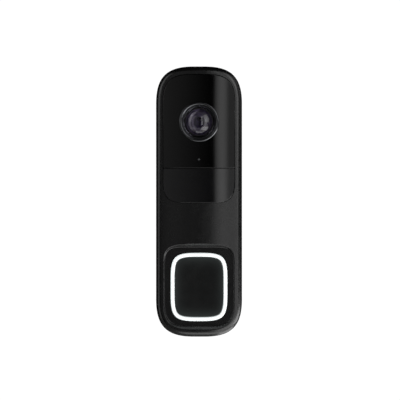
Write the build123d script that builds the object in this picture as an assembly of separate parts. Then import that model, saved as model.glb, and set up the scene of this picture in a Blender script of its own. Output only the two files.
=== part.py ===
from build123d import *
from math import sqrt
import os

# Slim wired video doorbell on its wall bracket. Millimetres, Z up, the front faces -Y.
# The origin is the centre of the bracket's wall side. A "depth" is a distance from the wall.

# Whole body
HEIGHT = 138.0
WIDTH = 44.1
CREST = 27.8            # depth of the front's crest line
CROWN_R = 85.0          # the front bulges from side to side
EDGE_R = 3.4            # rounding between the front and the sides
BODY_CORNER = (18.7, 0.285)
WALL = 2.0
RIM = 4.4               # width of the joint face between the two housings
RIM_T = 2.4
BACK = 2.8              # depth of the rear housing's back face
BACK_WALL = 1.8
BACK_R = 1.2
PART_LINE = 16.0        # depth where the two housings meet
GROOVE = 0.3            # bevel along the parting line
FIT_GAP = 0.05          # radial gap of a sliding pin
LOOSE = 0.2             # gap around pieces that only sit in place
SHRINK = 8 * (1 - 1 / sqrt(2))

# Windows
WINDOW_W = 36.9
WINDOW_TOP = 64.8
WINDOW_LOW = -0.8
SEAM_Z = 16.9
SEAM_GAP = 0.25
WINDOW_T = 1.4
TAPE_T = 0.2
TAPE_W = 1.6
TAPE_CORNER = (2.4, 0.3)
FRONT_WALL = 3.4        # housing wall plus window and tape
WINDOW_TOP_CORNER = (13.6, 0.285)
WINDOW_LOW_CORNER = (11.4, 0.22)
TIGHT_CORNER = (0.6, 0.3)
WINDOW_EDGE_R = 0.25

# Camera
LENS_Z = 40.5
BEZEL_R = 10.15
BEZEL_TOP = 28.5
BEZEL_CREST_W = 1.3     # width of the bezel's rounded crest
BEZEL_CREST_ROUND = 0.6
BEZEL_LEDGE = (8.1, 27.5)
BEZEL_TUBE_R = 8.7
BEZEL_BORE_R = 7.5
BEZEL_BACK = 21.5
HEAD_R = 7.3
BARREL_R = 5.95
BARREL_TOP = 26.6
BARREL_HEAD = 19.4
BARREL_BACK = 14.8
FRONT_LENS_R = 6.75
FRONT_LENS_EDGE = (24.9, 25.6)
FRONT_LENS_TOP = 28.0
HOLLOW_R = 18.0
SMALL_LENS_R = 9.0      # radius of the small lenses' faces
STOP_DEPTH = (23.9, 24.4)
STOP_R = 2.35
REAR_BORE_R = 4.1
INNER_LENS = (20.6, 23.2)
REAR_LENS = (16.4, 18.4)
LENS_R = 4.05
HOLDER_W = 15.0
HOLDER_TOP = 18.6
SENSOR = (8.0, 7.0, 1.0)
BOARD_FRONT = 12.2      # front face of the main and camera boards
BOARD_T = 1.0
CAMERA_BOARD = (26.0, 25.0)
CAMERA_POSTS = (10.8, 9.9)

# Infra-red lamps
IR_Z = 56.7
IR_X = 7.8
IR_BOARD = (22.0, 7.0, 0.8)
IR_BOARD_FRONT = 21.4
IR_LAMP = (3.2, 0.9)
IR_DOME_R = 1.4
IR_HOLE_R = 2.5
IR_POST_X = 3.2

# Light sensor and motion sensor
DOT_Z = 21.4
DOT_R = 0.55
DOT_HOLE_R = 0.62
PIPE_R = 1.2
PIPE_FOOT_R = 1.9
LIGHT_SENSOR = (2.0, 2.0, 0.8)
MOTION_Z = 8.0
MOTION_CAN = (4.6, 4.1)
MOTION_FLANGE = (5.1, 0.5)
MOTION_EYE = (4.0, 3.0)
MOTION_OPENING = (24.0, 12.0)

# Dish and button
DISH_FLOOR = 25.2
DISH_WALL_IN = 23.2
DISH_HALF_W = 17.6
DISH_TOP = -23.3
DISH_LOW = -63.5
DISH_TOP_CORNER = (8.5, 0.22)
DISH_LOW_CORNER = (12.5, 0.22)
DISH_SLOPE = 0.7        # sideways run of the dish's wall per unit of depth
DISH_EDGE_R = 0.3
BUTTON_Z = -43.6
RING_W = 28.76
RING_H = 34.68
RING_STROKE = 1.82
RING_FLAT = 1.58        # half of the straight run along the ring's top
RING_CORNER = (RING_W / 2 - RING_FLAT, 0.16)
RING_TOP = 25.7
RING_BACK = 21.8
RING_FLANGE = 0.9
RING_FLANGE_TOP = 23.1
RING_EDGE_R = 0.45
SHOULDER = 23.45        # the ring's inner step that holds the cap in
SHOULDER_W = 0.72
CAP_GAP = 0.18
CAP_TOP = 25.45
CAP_BACK = 22.4
CAP_FLANGE = 0.52
CAP_FLANGE_TOP = 23.4
CAP_EDGE_R = 0.4
CAP_WALL = 1.6
CAP_ROOF = 23.9
CAP_DISH_DEPTH = 25.05
CAP_DISH_R = 300.0
PLUNGER_R = 2.95
PLUNGER_END = 20.35
CARRIER = (16.0, -65.4, -21.6)
CARRIER_T = 1.4
CARRIER_CORNER = (10.0, 0.22)
COLLAR_R = 4.5
COLLAR_END = 19.0
SEAL_R = 4.2
SEAL_T = 0.95
LED_HOLE_R = 1.6
LED = (2.0, 1.4, 0.7)
LED_SIDE = 6.5
LED_PLACES = [
    (LED_SIDE, RING_H / 2 - RING_STROKE / 2),
    (RING_W / 2 - RING_STROKE / 2, LED_SIDE),
]
BUTTON_BOARD_FRONT = 16.6
BUTTON_BOARD = (15.2, -63.9, -22.1)
BUTTON_BOARD_CORNER = (10.5, 0.24)
BUTTON_SCREWS = [(11.0, -23.9), (10.2, -62.6)]
BUTTON_POST_R = 1.5
SWITCH_W = 6.2
SWITCH_T = 1.9
STEM_R = 1.7
STEM_FRONT = 20.33
STEM_BACK = 17.6
STEM_HOLE_BACK = 17.0

# Microphone
MIC = (3.8, 3.0, 1.1)
MIC_Z = -62.0
MIC_PORT_R = 0.6
MIC_PORT_DEPTH = 20.0
MIC_BOOT_W = 6.0
MIC_BOOT_TOP = 21.4
MIC_BOOT_Z = -60.1

# Speaker, facing the left side
SPEAKER_Z = -38.0
SPEAKER_L = 26.0
SPEAKER_DEPTH = (5.0, 13.2)
SPEAKER_X = (-19.2, -13.6)
SPEAKER_WALL = 0.8
SPEAKER_SLOTS = 7
SLOT_PITCH = 3.0
SLOT_W = 1.3
SLOT_DEPTHS = (6.6, 11.6)

# Main board
MAIN_BOARD = (33.0, -20.5, 27.0)
MAIN_POSTS = (14.0, -17.8, 24.4)
POST_R = 2.1
POST_BORE_R = 0.7
BOARD_SCREW_R = 0.8
BOARD_SCREW_HEAD = (1.45, 0.9)
BOARD_SCREW_L = 4.0
SHIELD = (22.0, 13.0, 2.0)
SHIELD_Z = -9.5
CHIPS = [(-10.0, 17.0, 7.0, 7.0, 1.0), (10.5, 16.0, 6.0, 5.0, 0.9), (-11.5, 5.5, 5.0, 4.0, 1.2)]
CONNECTORS = [(-9.0, -18.0), (9.0, -18.0), (9.0, 25.0)]
CONNECTOR = (7.0, 3.0, 1.3)

# Power
CELL = (-16.0, 8.5, 0.5, 24.5)
CELL_DEPTH = (4.6, 8.9)
CELL_LIP = 0.5
RECESS = (12.0, -18.0, -2.0)
RECESS_DEPTH = 8.6
RECESS_WALL = 1.2
TERMINAL_W = 20.0
TERMINAL_Z = (-17.6, -9.6)
TERMINAL_TOP = 4.8
TERMINAL_X = 5.0
TERMINAL_SCREW_R = 1.4
TERMINAL_HEAD = (2.6, 1.3)
TERMINAL_PIN_R = 0.6

# Service button and tamper plunger
RESET_AT = (13.0, 13.0)
RESET_R = 2.2
RESET_STEM_R = 1.1
RESET_FRONT = 9.6
RESET_SUNK = 0.5
TAMPER_AT = (0.0, 46.0)
TAMPER_R = 1.6
TAMPER_FRONT = 9.6
SMALL_SWITCH = (4.2, 1.2)
SMALL_STEM_R = 0.8

# Antenna
ANTENNA = (20.0, 6.0, 0.3)
ANTENNA_Z = 59.5
CABLE_R = 0.5
RIBBON_T = 0.16
RIBBON_BEND = 0.6
RIBBON_SAG = 1.2
CAMERA_RIBBON = (-8.0, 7.0)     # middle and width
BUTTON_RIBBON = (9.0, 5.0)

# Housing screws, driven from the back
HOUSING_SCREWS = [(14.0, 60.9), (14.0, -60.9)]
BOSS_R = 2.0
SCREW_R = 1.0
SCREW_HOLE_R = 1.15
SCREW_HEAD = (1.9, 1.4)
SCREW_HEAD_SEAT = 5.0
SCREW_END = 21.5

# Seal between the housings
SEAL_CORD = (2.5, 3.8)
SEAL_DEPTH = 1.2

# Wall bracket
BRACKET_T = 2.6
BRACKET_INSET = 1.4
BRACKET_EDGE = 0.5
WIRE_OPENING = (24.0, -19.0, -2.5)
WIRE_CORNER = (4.0, 0.22)
WALL_SLOT_Z = 53.0
WALL_SLOT = (9.0, 4.4)
COUNTERSINK = 1.4       # depth and sideways run of the slots' slope
HOOK_X = 9.0
HOOK_Z = (36.0, -29.0)
HOOK_W = 5.0
HOOK_NECK = 2.5
HOOK_LIP = 5.0
HOOK_LIP_T = 1.3
LIFT = 6.0
POCKET_WALL = 1.0
POCKET_DEPTH = 6.6
TAB_W = 9.0
TAB_Z = (-68.6, -66.8)
TAB_END = 8.4
LOCK_DEPTH = 5.4
LOCK_R = 1.25
LOCK_HOLE_R = 1.35
LOCK_HEAD = (2.2, 1.1)
LOCK_TOP = -61.0
LOCK_BOSS = (3.2, -59.6)
DRIVE_R = 0.85
DRIVE_DEPTH = 0.7


# Shapes used by many pieces

def inset(corner, by):
    """The corner of the outline that runs parallel inside another one."""
    reach, pull = corner
    return (reach - by * SHRINK / (1 + 3 * pull), pull)


def outline(half_w, low, high, low_corner, high_corner):
    """A soft rectangle. Each corner is one curve: its reach along both sides, and its pull."""
    edges = []
    ends = []
    for x, z, dx, dz, corner in (
        (half_w, low, -1, 1, low_corner),
        (half_w, high, -1, -1, high_corner),
        (-half_w, high, 1, -1, high_corner),
        (-half_w, low, 1, 1, low_corner),
    ):
        reach, pull = corner
        along_x = [(x + dx * reach, z), (x + dx * reach * pull, z)]
        along_z = [(x, z + dz * reach * pull), (x, z + dz * reach)]
        points = along_x + along_z
        if dx * dz > 0:
            points.reverse()
        edges.append(Bezier(*points))
        ends.append((points[0], points[-1]))
    ends_ordered = ends[1:] + ends[:1]
    for here, following in zip(ends, ends_ordered):
        edges.append(Line(here[1], following[0]))
    return make_face(edges)


def body_outline(by):
    """The body's outline, moved inwards."""
    corner = inset(BODY_CORNER, by)
    return outline(WIDTH / 2 - by, by - HEIGHT / 2, HEIGHT / 2 - by, corner, corner)


def window_outline(low, low_corner, high, high_corner, by):
    """A window's outline, moved inwards."""
    return outline(WINDOW_W / 2 - by, low + by, high - by, low_corner, high_corner)


def ring_outline(by):
    """The light ring's outer outline, moved inwards."""
    corner = inset(RING_CORNER, by)
    half_h = RING_H / 2 - by
    return outline(RING_W / 2 - by, BUTTON_Z - half_h, BUTTON_Z + half_h, corner, corner)


def slab(face, back, front):
    """A flat outline thickened between two depths."""
    return extrude(Plane.XZ.offset(back) * face, front - back)


def disc(x, z, radius, back, front):
    """A round bar that points out of the wall."""
    return slab(Pos(x, z) * Circle(radius), back, front)


def block(x, z, width, height, back, front):
    """A rectangular block between two depths."""
    return slab(Pos(x, z) * Rectangle(width, height), back, front)


def crown(below):
    """All that lies behind the front's curved surface, moved inwards."""
    return Pos(0, CROWN_R - CREST, 0) * Cylinder(CROWN_R - below, 2 * HEIGHT)


def turned(points, z):
    """A ring turned about an axis that points out of the wall. Points are (radius, depth)."""
    profile = make_face(Polyline(*[(r, -d) for r, d in points], close=True))
    return Pos(0, 0, z) * revolve(profile, Axis.Y)


def both_sides(places):
    """The same places on the left and on the right."""
    return [(side * x, z) for x, z in places for side in (-1, 1)]


def group(solids):
    """Equal pieces kept together as one sub-part."""
    return Compound(children=list(solids))


def edges_at(solid, depth):
    """The edges that lie in one plane parallel to the wall."""
    return solid.edges().filter_by_position(Axis.Y, -depth - 0.01, -depth + 0.01)


def screw(x, z, head, shank_r, head_back, end):
    """A pan-head screw driven from the back, with a six-lobe socket drawn as a hexagon."""
    head_r, head_t = head
    body = disc(x, z, head_r, head_back, head_back + head_t)
    body = fillet(edges_at(body, head_back), head_t / 3)
    body += disc(x, z, shank_r, head_back + head_t, end)
    socket = Pos(x, z) * RegularPolygon(head_r / 2, 6)
    return body - slab(socket, head_back, head_back + head_t / 2)


# Shell

def front_shell():
    """The front housing's outside, with the rounded edge and the dish."""
    body = slab(body_outline(0), PART_LINE, CREST + 1) & crown(0)
    across = body.edges().filter_by(Axis.Y, reverse=True)
    front_edges = across.filter_by_position(Axis.Y, -CREST - 1, -PART_LINE - 1)
    shell = fillet(front_edges, EDGE_R)
    rise = CREST + 1 - DISH_FLOOR
    spread = rise * DISH_SLOPE
    floor = outline(DISH_HALF_W, DISH_LOW, DISH_TOP, DISH_LOW_CORNER, DISH_TOP_CORNER)
    mouth = outline(
        DISH_HALF_W + spread,
        DISH_LOW - spread,
        DISH_TOP + spread,
        inset(DISH_LOW_CORNER, -spread),
        inset(DISH_TOP_CORNER, -spread),
    )
    dish = loft([Plane.XZ.offset(DISH_FLOOR) * floor, Plane.XZ.offset(CREST + 1) * mouth], ruled=True)
    body = shell - dish
    mouth_edges = new_edges(shell, dish, combined=body)
    body = fillet(mouth_edges, DISH_EDGE_R)
    body = fillet(edges_at(body, DISH_FLOOR), DISH_EDGE_R)
    return chamfer(edges_at(body, PART_LINE), GROOVE)


def front_hollow():
    """The space inside the front housing."""
    mouth = slab(body_outline(RIM), PART_LINE, PART_LINE + RIM_T)
    room = slab(body_outline(WALL), PART_LINE + RIM_T, CREST)
    split = DISH_TOP + RIM_T
    upper = block(0, split + HEIGHT / 2, WIDTH, HEIGHT, PART_LINE, CREST) & crown(FRONT_WALL)
    lower = block(0, split - HEIGHT / 2, WIDTH, HEIGHT, PART_LINE, DISH_WALL_IN)
    return mouth + (room & upper) + (room & lower)


def front_posts():
    """Screw posts inside the front housing."""
    posts = []
    for x, z in both_sides(HOUSING_SCREWS):
        posts.append(disc(x, z, BOSS_R, PART_LINE, CREST))
    main_x, main_low, main_high = MAIN_POSTS
    camera_x, camera_z = CAMERA_POSTS
    places = [(main_x, main_low), (main_x, main_high)]
    places += [(camera_x, LENS_Z - camera_z), (camera_x, LENS_Z + camera_z)]
    for x, z in both_sides(places):
        posts.append(disc(x, z, POST_R, BOARD_FRONT, CREST))
    for x, z in both_sides([(IR_POST_X, IR_Z)]):
        posts.append(disc(x, z, BUTTON_POST_R, IR_BOARD_FRONT, CREST))
    for x, z in both_sides(BUTTON_SCREWS):
        posts.append(disc(x, z, BUTTON_POST_R, RING_BACK, DISH_FLOOR - WALL / 2))
    return posts


def front_bores():
    """Pilot holes in the screw posts."""
    bores = []
    for x, z in both_sides(HOUSING_SCREWS):
        bores.append(disc(x, z, SCREW_R + FIT_GAP, PART_LINE, SCREW_END + LOOSE))
    main_x, main_low, main_high = MAIN_POSTS
    camera_x, camera_z = CAMERA_POSTS
    places = [(main_x, main_low), (main_x, main_high)]
    places += [(camera_x, LENS_Z - camera_z), (camera_x, LENS_Z + camera_z)]
    for x, z in both_sides(places):
        bores.append(disc(x, z, POST_BORE_R, BOARD_FRONT, BOARD_FRONT + BOARD_SCREW_L))
    for x, z in both_sides([(IR_POST_X, IR_Z)]):
        bores.append(disc(x, z, POST_BORE_R, IR_BOARD_FRONT, IR_BOARD_FRONT + BOARD_SCREW_L / 2))
    for x, z in both_sides(BUTTON_SCREWS):
        bores.append(disc(x, z, POST_BORE_R, RING_BACK, RING_BACK + BOARD_SCREW_L / 2))
    return bores


def rim_notches(back, front):
    """Room in the joint face for the lower button screws."""
    return [disc(x, z, BUTTON_POST_R + LOOSE, back, front) for x, z in both_sides(BUTTON_SCREWS)]


def front_housing():
    """Front housing: crowned shell with seats for both windows, the lens and the button."""
    shell = front_shell()
    inside = shell & crown(WALL / 2)
    body = shell - front_hollow()
    for notch in rim_notches(PART_LINE, PART_LINE + RIM_T):
        body -= notch
    for post in front_posts():
        body += post & inside
    for bore in front_bores():
        body -= bore
    seat = window_outline(WINDOW_LOW, WINDOW_LOW_CORNER, WINDOW_TOP, WINDOW_TOP_CORNER, 0)
    body -= slab(seat, PART_LINE + RIM_T, CREST + 1) - crown(WINDOW_T + TAPE_T)
    body -= disc(0, LENS_Z, BEZEL_TUBE_R + LOOSE / 2, PART_LINE, CREST)
    for x, z in both_sides([(IR_X, IR_Z)]):
        body -= disc(x, z, IR_HOLE_R, IR_BOARD_FRONT, CREST)
    body -= disc(0, DOT_Z, PIPE_R + LOOSE, PART_LINE, CREST)
    eye_w, eye_h = MOTION_OPENING
    body -= slab(Pos(0, MOTION_Z) * RectangleRounded(eye_w, eye_h, EDGE_R), PART_LINE, CREST)
    body -= slab(ring_outline(-LOOSE / 2), RING_BACK, CREST)
    port = Pos(0, -MIC_PORT_DEPTH, -HEIGHT / 2) * Cylinder(MIC_PORT_R, 2 * (WALL + LOOSE))
    return body - port


def rear_housing():
    """Rear housing: back wall, hook pockets, terminal recess, speaker slots and screw posts."""
    body = slab(body_outline(0), BACK, PART_LINE)
    body = fillet(edges_at(body, BACK), BACK_R)
    body = chamfer(edges_at(body, PART_LINE), GROOVE)
    room = slab(body_outline(WALL), BACK + BACK_WALL, PART_LINE - RIM_T)
    body -= room
    body -= slab(body_outline(RIM), PART_LINE - RIM_T, PART_LINE)
    for notch in rim_notches(PART_LINE - RIM_T, PART_LINE):
        body -= notch
    body = add_rear_posts(body)
    groove_out, groove_in = SEAL_CORD
    groove = body_outline(groove_out) - body_outline(groove_in)
    body -= slab(groove, PART_LINE - SEAL_DEPTH, PART_LINE)
    body = add_hook_pockets(body)
    body = add_terminal_recess(body)
    body = add_lock_boss(body)
    for index in range(SPEAKER_SLOTS):
        z = SPEAKER_Z + (index - (SPEAKER_SLOTS - 1) / 2) * SLOT_PITCH
        low, high = SLOT_DEPTHS
        body -= Pos(-WIDTH / 2, -(low + high) / 2, z) * Rot(0, 90, 0) * extrude(
            SlotOverall(high - low, SLOT_W, rotation=90), WALL + LOOSE, both=True
        )
    for (x, z), radius in ((RESET_AT, RESET_R), (TAMPER_AT, TAMPER_R)):
        body += disc(x, z, radius + FIT_GAP + WALL / 2, BACK, BACK + 2 * BACK_WALL)
        body -= disc(x, z, radius + FIT_GAP, BACK - 1, BACK + 2 * BACK_WALL)
    return body


def add_rear_posts(body):
    """Posts that the housing screws pass through, with the heads sunk in the back."""
    seat = SCREW_HEAD_SEAT + SCREW_HEAD[1]
    for x, z in both_sides(HOUSING_SCREWS):
        body += disc(x, z, BOSS_R + WALL / 2, BACK + BACK_WALL, seat + WALL) & slab(
            body_outline(WALL / 2), BACK, PART_LINE
        )
        body += disc(x, z, BOSS_R, BACK + BACK_WALL, PART_LINE)
        body -= disc(x, z, SCREW_HEAD[0] + LOOSE, BACK - 1, seat)
        body -= disc(x, z, SCREW_HOLE_R, BACK, PART_LINE)
    return body


def pocket_box(grow, front):
    """The four hook pockets as blocks, in front of the back face."""
    boxes = []
    for side in (-1, 1):
        for z in HOOK_Z:
            low = z - HOOK_NECK - LIFT - LOOSE - grow
            high = z + HOOK_LIP + LOOSE + grow
            width = HOOK_W + 2 * (LOOSE + grow)
            boxes.append(block(side * HOOK_X, (low + high) / 2, width, high - low, BACK, front))
    return boxes


def add_hook_pockets(body):
    """Closed pockets behind the slots that drop over the bracket's hooks."""
    for box in pocket_box(POCKET_WALL, POCKET_DEPTH + POCKET_WALL):
        body += box - block(0, 0, WIDTH, HEIGHT, BACK - 1, BACK + BACK_WALL / 2)
    for box in pocket_box(0, POCKET_DEPTH):
        body -= box - block(0, 0, WIDTH, HEIGHT, BACK - 1, BACK + BACK_WALL)
    for side in (-1, 1):
        for z in HOOK_Z:
            low = z - HOOK_NECK - LIFT - LOOSE
            width = HOOK_W + 2 * LOOSE
            body -= block(
                side * HOOK_X, (low + z) / 2 + FIT_GAP / 2, width, z - low + FIT_GAP, BACK - 1, POCKET_DEPTH
            )
    return body


def add_terminal_recess(body):
    """A recess in the back, for the terminals and their wires."""
    half_w, low, high = RECESS
    middle = (low + high) / 2
    outer_w = 2 * (half_w + RECESS_WALL)
    outer_h = high - low + 2 * RECESS_WALL
    body += block(0, middle, outer_w, outer_h, BACK + BACK_WALL / 2, RECESS_DEPTH + RECESS_WALL)
    body -= block(0, middle, 2 * half_w, high - low, BACK - 1, RECESS_DEPTH)
    for side in (-1, 1):
        pin_z = sum(TERMINAL_Z) / 2
        body -= disc(side * TERMINAL_X, pin_z, TERMINAL_PIN_R + FIT_GAP, RECESS_DEPTH, BOARD_FRONT)
    return body


def add_lock_boss(body):
    """The notch for the bracket's tab and the boss for the security screw."""
    boss_r, boss_top = LOCK_BOSS
    low, high = TAB_Z
    boss_h = boss_top - high
    outer = Pos(0, -LOCK_DEPTH, high + boss_h / 2) * Box(2 * boss_r, 2 * boss_r, boss_h)
    body += outer - block(0, 0, WIDTH, HEIGHT, 0, BACK)
    notch_w = TAB_W + 2 * LOOSE
    around = block(0, high, notch_w + 2 * RECESS_WALL, 2 * RIM_T, BACK, TAB_END + RECESS_WALL)
    body += around & slab(body_outline(WALL / 2), BACK + BACK_WALL / 2, PART_LINE)
    body -= block(0, high + LOOSE - WALL, notch_w, 2 * WALL, BACK - 1, TAB_END + LOOSE)
    bore = Cylinder(LOCK_HOLE_R, 2 * (LOCK_TOP + LOOSE - high))
    return body - Pos(0, -LOCK_DEPTH, high) * bore


def main_seal():
    """Silicone cord that lies in the rear housing's groove."""
    groove_out, groove_in = SEAL_CORD
    gap = FIT_GAP
    ring = body_outline(groove_out + gap) - body_outline(groove_in - gap)
    return slab(ring, PART_LINE - SEAL_DEPTH + gap, PART_LINE - gap / 2)


def housing_screws():
    """Four screws that pull the two housings together."""
    return group(
        screw(x, z, SCREW_HEAD, SCREW_R, SCREW_HEAD_SEAT, SCREW_END) for x, z in both_sides(HOUSING_SCREWS)
    )


# Windows

def pane(low, low_corner, high, high_corner):
    """A curved window pane, flush with the front."""
    face = window_outline(low, low_corner, high, high_corner, LOOSE)
    return (slab(face, PART_LINE, CREST + 1) & crown(0)) - crown(WINDOW_T)


def rounded_pane(solid):
    """The pane with its front edges slightly rounded."""
    across = solid.edges().filter_by(Axis.Y, reverse=True)
    front = [edge for edge in across if on_crown(edge)]
    return fillet(front, WINDOW_EDGE_R)


def on_crown(edge):
    """True for an edge that lies in the front's curved surface."""
    centre = edge @ 0.5
    away = sqrt(centre.X ** 2 + (centre.Y - CROWN_R + CREST) ** 2)
    return away > CROWN_R - WINDOW_T / 2


def camera_window():
    """Glossy pane over the camera, with holes for the bezel and the light pipe."""
    body = pane(SEAM_Z, TIGHT_CORNER, WINDOW_TOP, WINDOW_TOP_CORNER)
    body = rounded_pane(body)
    body -= disc(0, LENS_Z, BEZEL_R + LOOSE / 2, PART_LINE, CREST + 1)
    return body - disc(0, DOT_Z, DOT_HOLE_R, PART_LINE, CREST + 1)


def motion_window():
    """Thin pane that passes body heat, below the seam."""
    high = SEAM_Z + LOOSE + LOOSE - SEAM_GAP
    return rounded_pane(pane(WINDOW_LOW, WINDOW_LOW_CORNER, high, TIGHT_CORNER))


def tape(low, low_corner, high, high_corner):
    """Double-sided adhesive frame under a pane."""
    outer = window_outline(low, low_corner, high, high_corner, LOOSE)
    inner = window_outline(low, inset(low_corner, TAPE_W), high, inset(high_corner, TAPE_W), LOOSE + TAPE_W)
    frame = slab(outer, PART_LINE, CREST + 1) - slab(inner, PART_LINE, CREST + 1)
    return (frame & crown(WINDOW_T)) - crown(WINDOW_T + TAPE_T)


def window_tapes():
    """The two adhesive frames."""
    upper = tape(SEAM_Z, TAPE_CORNER, WINDOW_TOP, WINDOW_TOP_CORNER)
    lower = tape(WINDOW_LOW, WINDOW_LOW_CORNER, SEAM_Z, TAPE_CORNER)
    return group([upper, lower])


# Camera

def lens_bezel():
    """Raised ring around the lens, with a rounded crest and a stepped cone inside."""
    collar = CREST - WINDOW_T - TAPE_T + FIT_GAP
    crest_r = BEZEL_R - BEZEL_CREST_W
    ledge_r, ledge_top = BEZEL_LEDGE
    body = turned(
        [
            (BEZEL_BORE_R, BEZEL_BACK),
            (BEZEL_TUBE_R, BEZEL_BACK),
            (BEZEL_TUBE_R, collar),
            (BEZEL_R, collar),
            (BEZEL_R, BEZEL_TOP),
            (crest_r, BEZEL_TOP),
            (crest_r - GROOVE, ledge_top),
            (ledge_r, ledge_top),
            (BEZEL_BORE_R, BARREL_TOP + LOOSE),
        ],
        LENS_Z,
    )
    return fillet(edges_at(body, BEZEL_TOP), BEZEL_CREST_ROUND)


def lens_barrel():
    """Threaded tube that holds the lens elements, drawn without its thread."""
    body = turned(
        [
            (LENS_R - LOOSE, BARREL_BACK),
            (BARREL_R, BARREL_BACK),
            (BARREL_R, BARREL_HEAD),
            (HEAD_R, BARREL_HEAD),
            (HEAD_R, BARREL_TOP - LOOSE),
            (HEAD_R - LOOSE, BARREL_TOP),
            (FRONT_LENS_R + FIT_GAP, BARREL_TOP),
            (FRONT_LENS_R + FIT_GAP, STOP_DEPTH[0]),
            (REAR_BORE_R, STOP_DEPTH[0]),
            (REAR_BORE_R, REAR_LENS[0]),
            (LENS_R - LOOSE, REAR_LENS[0]),
        ],
        LENS_Z,
    )
    return body


def ball(depth, radius, towards_wall):
    """A ball on the lens axis whose surface reaches a depth."""
    centre = depth - radius if towards_wall else depth + radius
    return Pos(0, -centre, LENS_Z) * Sphere(radius)


def front_lens():
    """Dome-shaped front element, hollow behind."""
    back, edge = FRONT_LENS_EDGE
    rise = FRONT_LENS_TOP - edge
    dome_r = (FRONT_LENS_R ** 2 + rise ** 2) / (2 * rise)
    body = disc(0, LENS_Z, FRONT_LENS_R, back, FRONT_LENS_TOP + 1) & ball(FRONT_LENS_TOP, dome_r, True)
    hollow = disc(0, LENS_Z, FRONT_LENS_R - WALL / 2, back - 1, edge)
    return body - (hollow & ball(edge - WALL / 4, HOLLOW_R, True))


def lens_stop():
    """Black disc with the opening that limits the light."""
    back, front = STOP_DEPTH
    body = disc(0, LENS_Z, FRONT_LENS_R - LOOSE, back, front)
    return body - disc(0, LENS_Z, STOP_R, back, front)


def inner_lens():
    """Element bulging on both sides."""
    back, front = INNER_LENS
    body = disc(0, LENS_Z, LENS_R, back, front)
    return body & ball(front, SMALL_LENS_R, True) & ball(back, SMALL_LENS_R, False)


def rear_lens():
    """Last element before the image sensor."""
    back, front = REAR_LENS
    body = disc(0, LENS_Z, LENS_R, back, front)
    return body & ball(front, SMALL_LENS_R, True)


def lens_holder():
    """Square base that carries the barrel over the image sensor."""
    body = block(0, LENS_Z, HOLDER_W, HOLDER_W, BOARD_FRONT, HOLDER_TOP)
    upright = body.edges().filter_by(Axis.Y)
    body = fillet(upright, WALL / 2)
    body -= disc(0, LENS_Z, BARREL_R + FIT_GAP, BARREL_BACK - LOOSE, HOLDER_TOP)
    room_w, room_h, room_t = SENSOR
    return body - block(0, LENS_Z, room_w + WALL, room_h + WALL, BOARD_FRONT, BARREL_BACK)


def image_sensor():
    """Image sensor package."""
    width, height, thick = SENSOR
    return block(0, LENS_Z, width, height, BOARD_FRONT, BOARD_FRONT + thick)


def board(x, z, width, height, front, holes):
    """A circuit board with rounded corners and its screw holes."""
    body = slab(Pos(x, z) * RectangleRounded(width, height, WALL / 2), front - BOARD_T, front)
    for hole_x, hole_z in holes:
        body -= disc(hole_x, hole_z, BOARD_SCREW_R + LOOSE / 2, front - BOARD_T, front)
    return body


def camera_board():
    """Board behind the lens."""
    width, height = CAMERA_BOARD
    x, z = CAMERA_POSTS
    holes = both_sides([(x, LENS_Z - z), (x, LENS_Z + z)])
    return board(0, LENS_Z, width, height, BOARD_FRONT, holes)


def ir_board():
    """Narrow board that carries the two infra-red lamps."""
    width, height, thick = IR_BOARD
    body = block(0, IR_Z, width, height, IR_BOARD_FRONT - thick, IR_BOARD_FRONT)
    for x, z in both_sides([(IR_POST_X, IR_Z)]):
        body -= disc(x, z, BOARD_SCREW_R + LOOSE / 2, IR_BOARD_FRONT - thick, IR_BOARD_FRONT)
    return body


def ir_lamps():
    """Two infra-red lamps with small domes."""
    width, thick = IR_LAMP
    lamps = []
    for x, z in both_sides([(IR_X, IR_Z)]):
        base = block(x, z, width, width, IR_BOARD_FRONT, IR_BOARD_FRONT + thick)
        dome = Pos(x, -IR_BOARD_FRONT - thick, z) * Sphere(IR_DOME_R)
        lamps.append(base + (dome - block(x, z, width, width, 0, IR_BOARD_FRONT)))
    return group(lamps)


# Sensing

def light_pipe():
    """Clear rod from the dot in the window to the light sensor."""
    sensor_top = BOARD_FRONT + LIGHT_SENSOR[2] + LOOSE
    shoulder = CREST - FRONT_WALL - FIT_GAP
    neck = CREST - WINDOW_T - TAPE_T - FIT_GAP
    body = disc(0, DOT_Z, DOT_R, neck, CREST - FIT_GAP)
    body += disc(0, DOT_Z, PIPE_R, shoulder - LOOSE, neck)
    body += disc(0, DOT_Z, PIPE_FOOT_R, shoulder - WALL, shoulder)
    return body + disc(0, DOT_Z, PIPE_R, sensor_top, shoulder)


def light_sensor():
    """Light sensor on the main board."""
    width, height, thick = LIGHT_SENSOR
    return block(0, DOT_Z, width, height, BOARD_FRONT, BOARD_FRONT + thick)


def motion_sensor():
    """Can of the heat sensor, with its flange and eye."""
    can_r, can_t = MOTION_CAN
    flange_r, flange_t = MOTION_FLANGE
    eye_w, eye_h = MOTION_EYE
    top = BOARD_FRONT + can_t
    body = disc(0, MOTION_Z, can_r, BOARD_FRONT, top)
    body = fillet(edges_at(body, top), WINDOW_EDGE_R)
    body += disc(0, MOTION_Z, flange_r, BOARD_FRONT, BOARD_FRONT + flange_t)
    return body - block(0, MOTION_Z, eye_w, eye_h, top - LOOSE, top)


# Button

def button_light_ring():
    """Opal ring around the button, held behind the housing by its flange."""
    body = slab(ring_outline(0), RING_BACK, RING_TOP)
    body -= slab(ring_outline(RING_STROKE), RING_BACK, RING_TOP)
    body = fillet(edges_at(body, RING_TOP), RING_EDGE_R)
    body += slab(ring_outline(-RING_FLANGE), RING_BACK, RING_FLANGE_TOP)
    return body - slab(ring_outline(RING_STROKE - SHOULDER_W), RING_BACK, SHOULDER)


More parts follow.
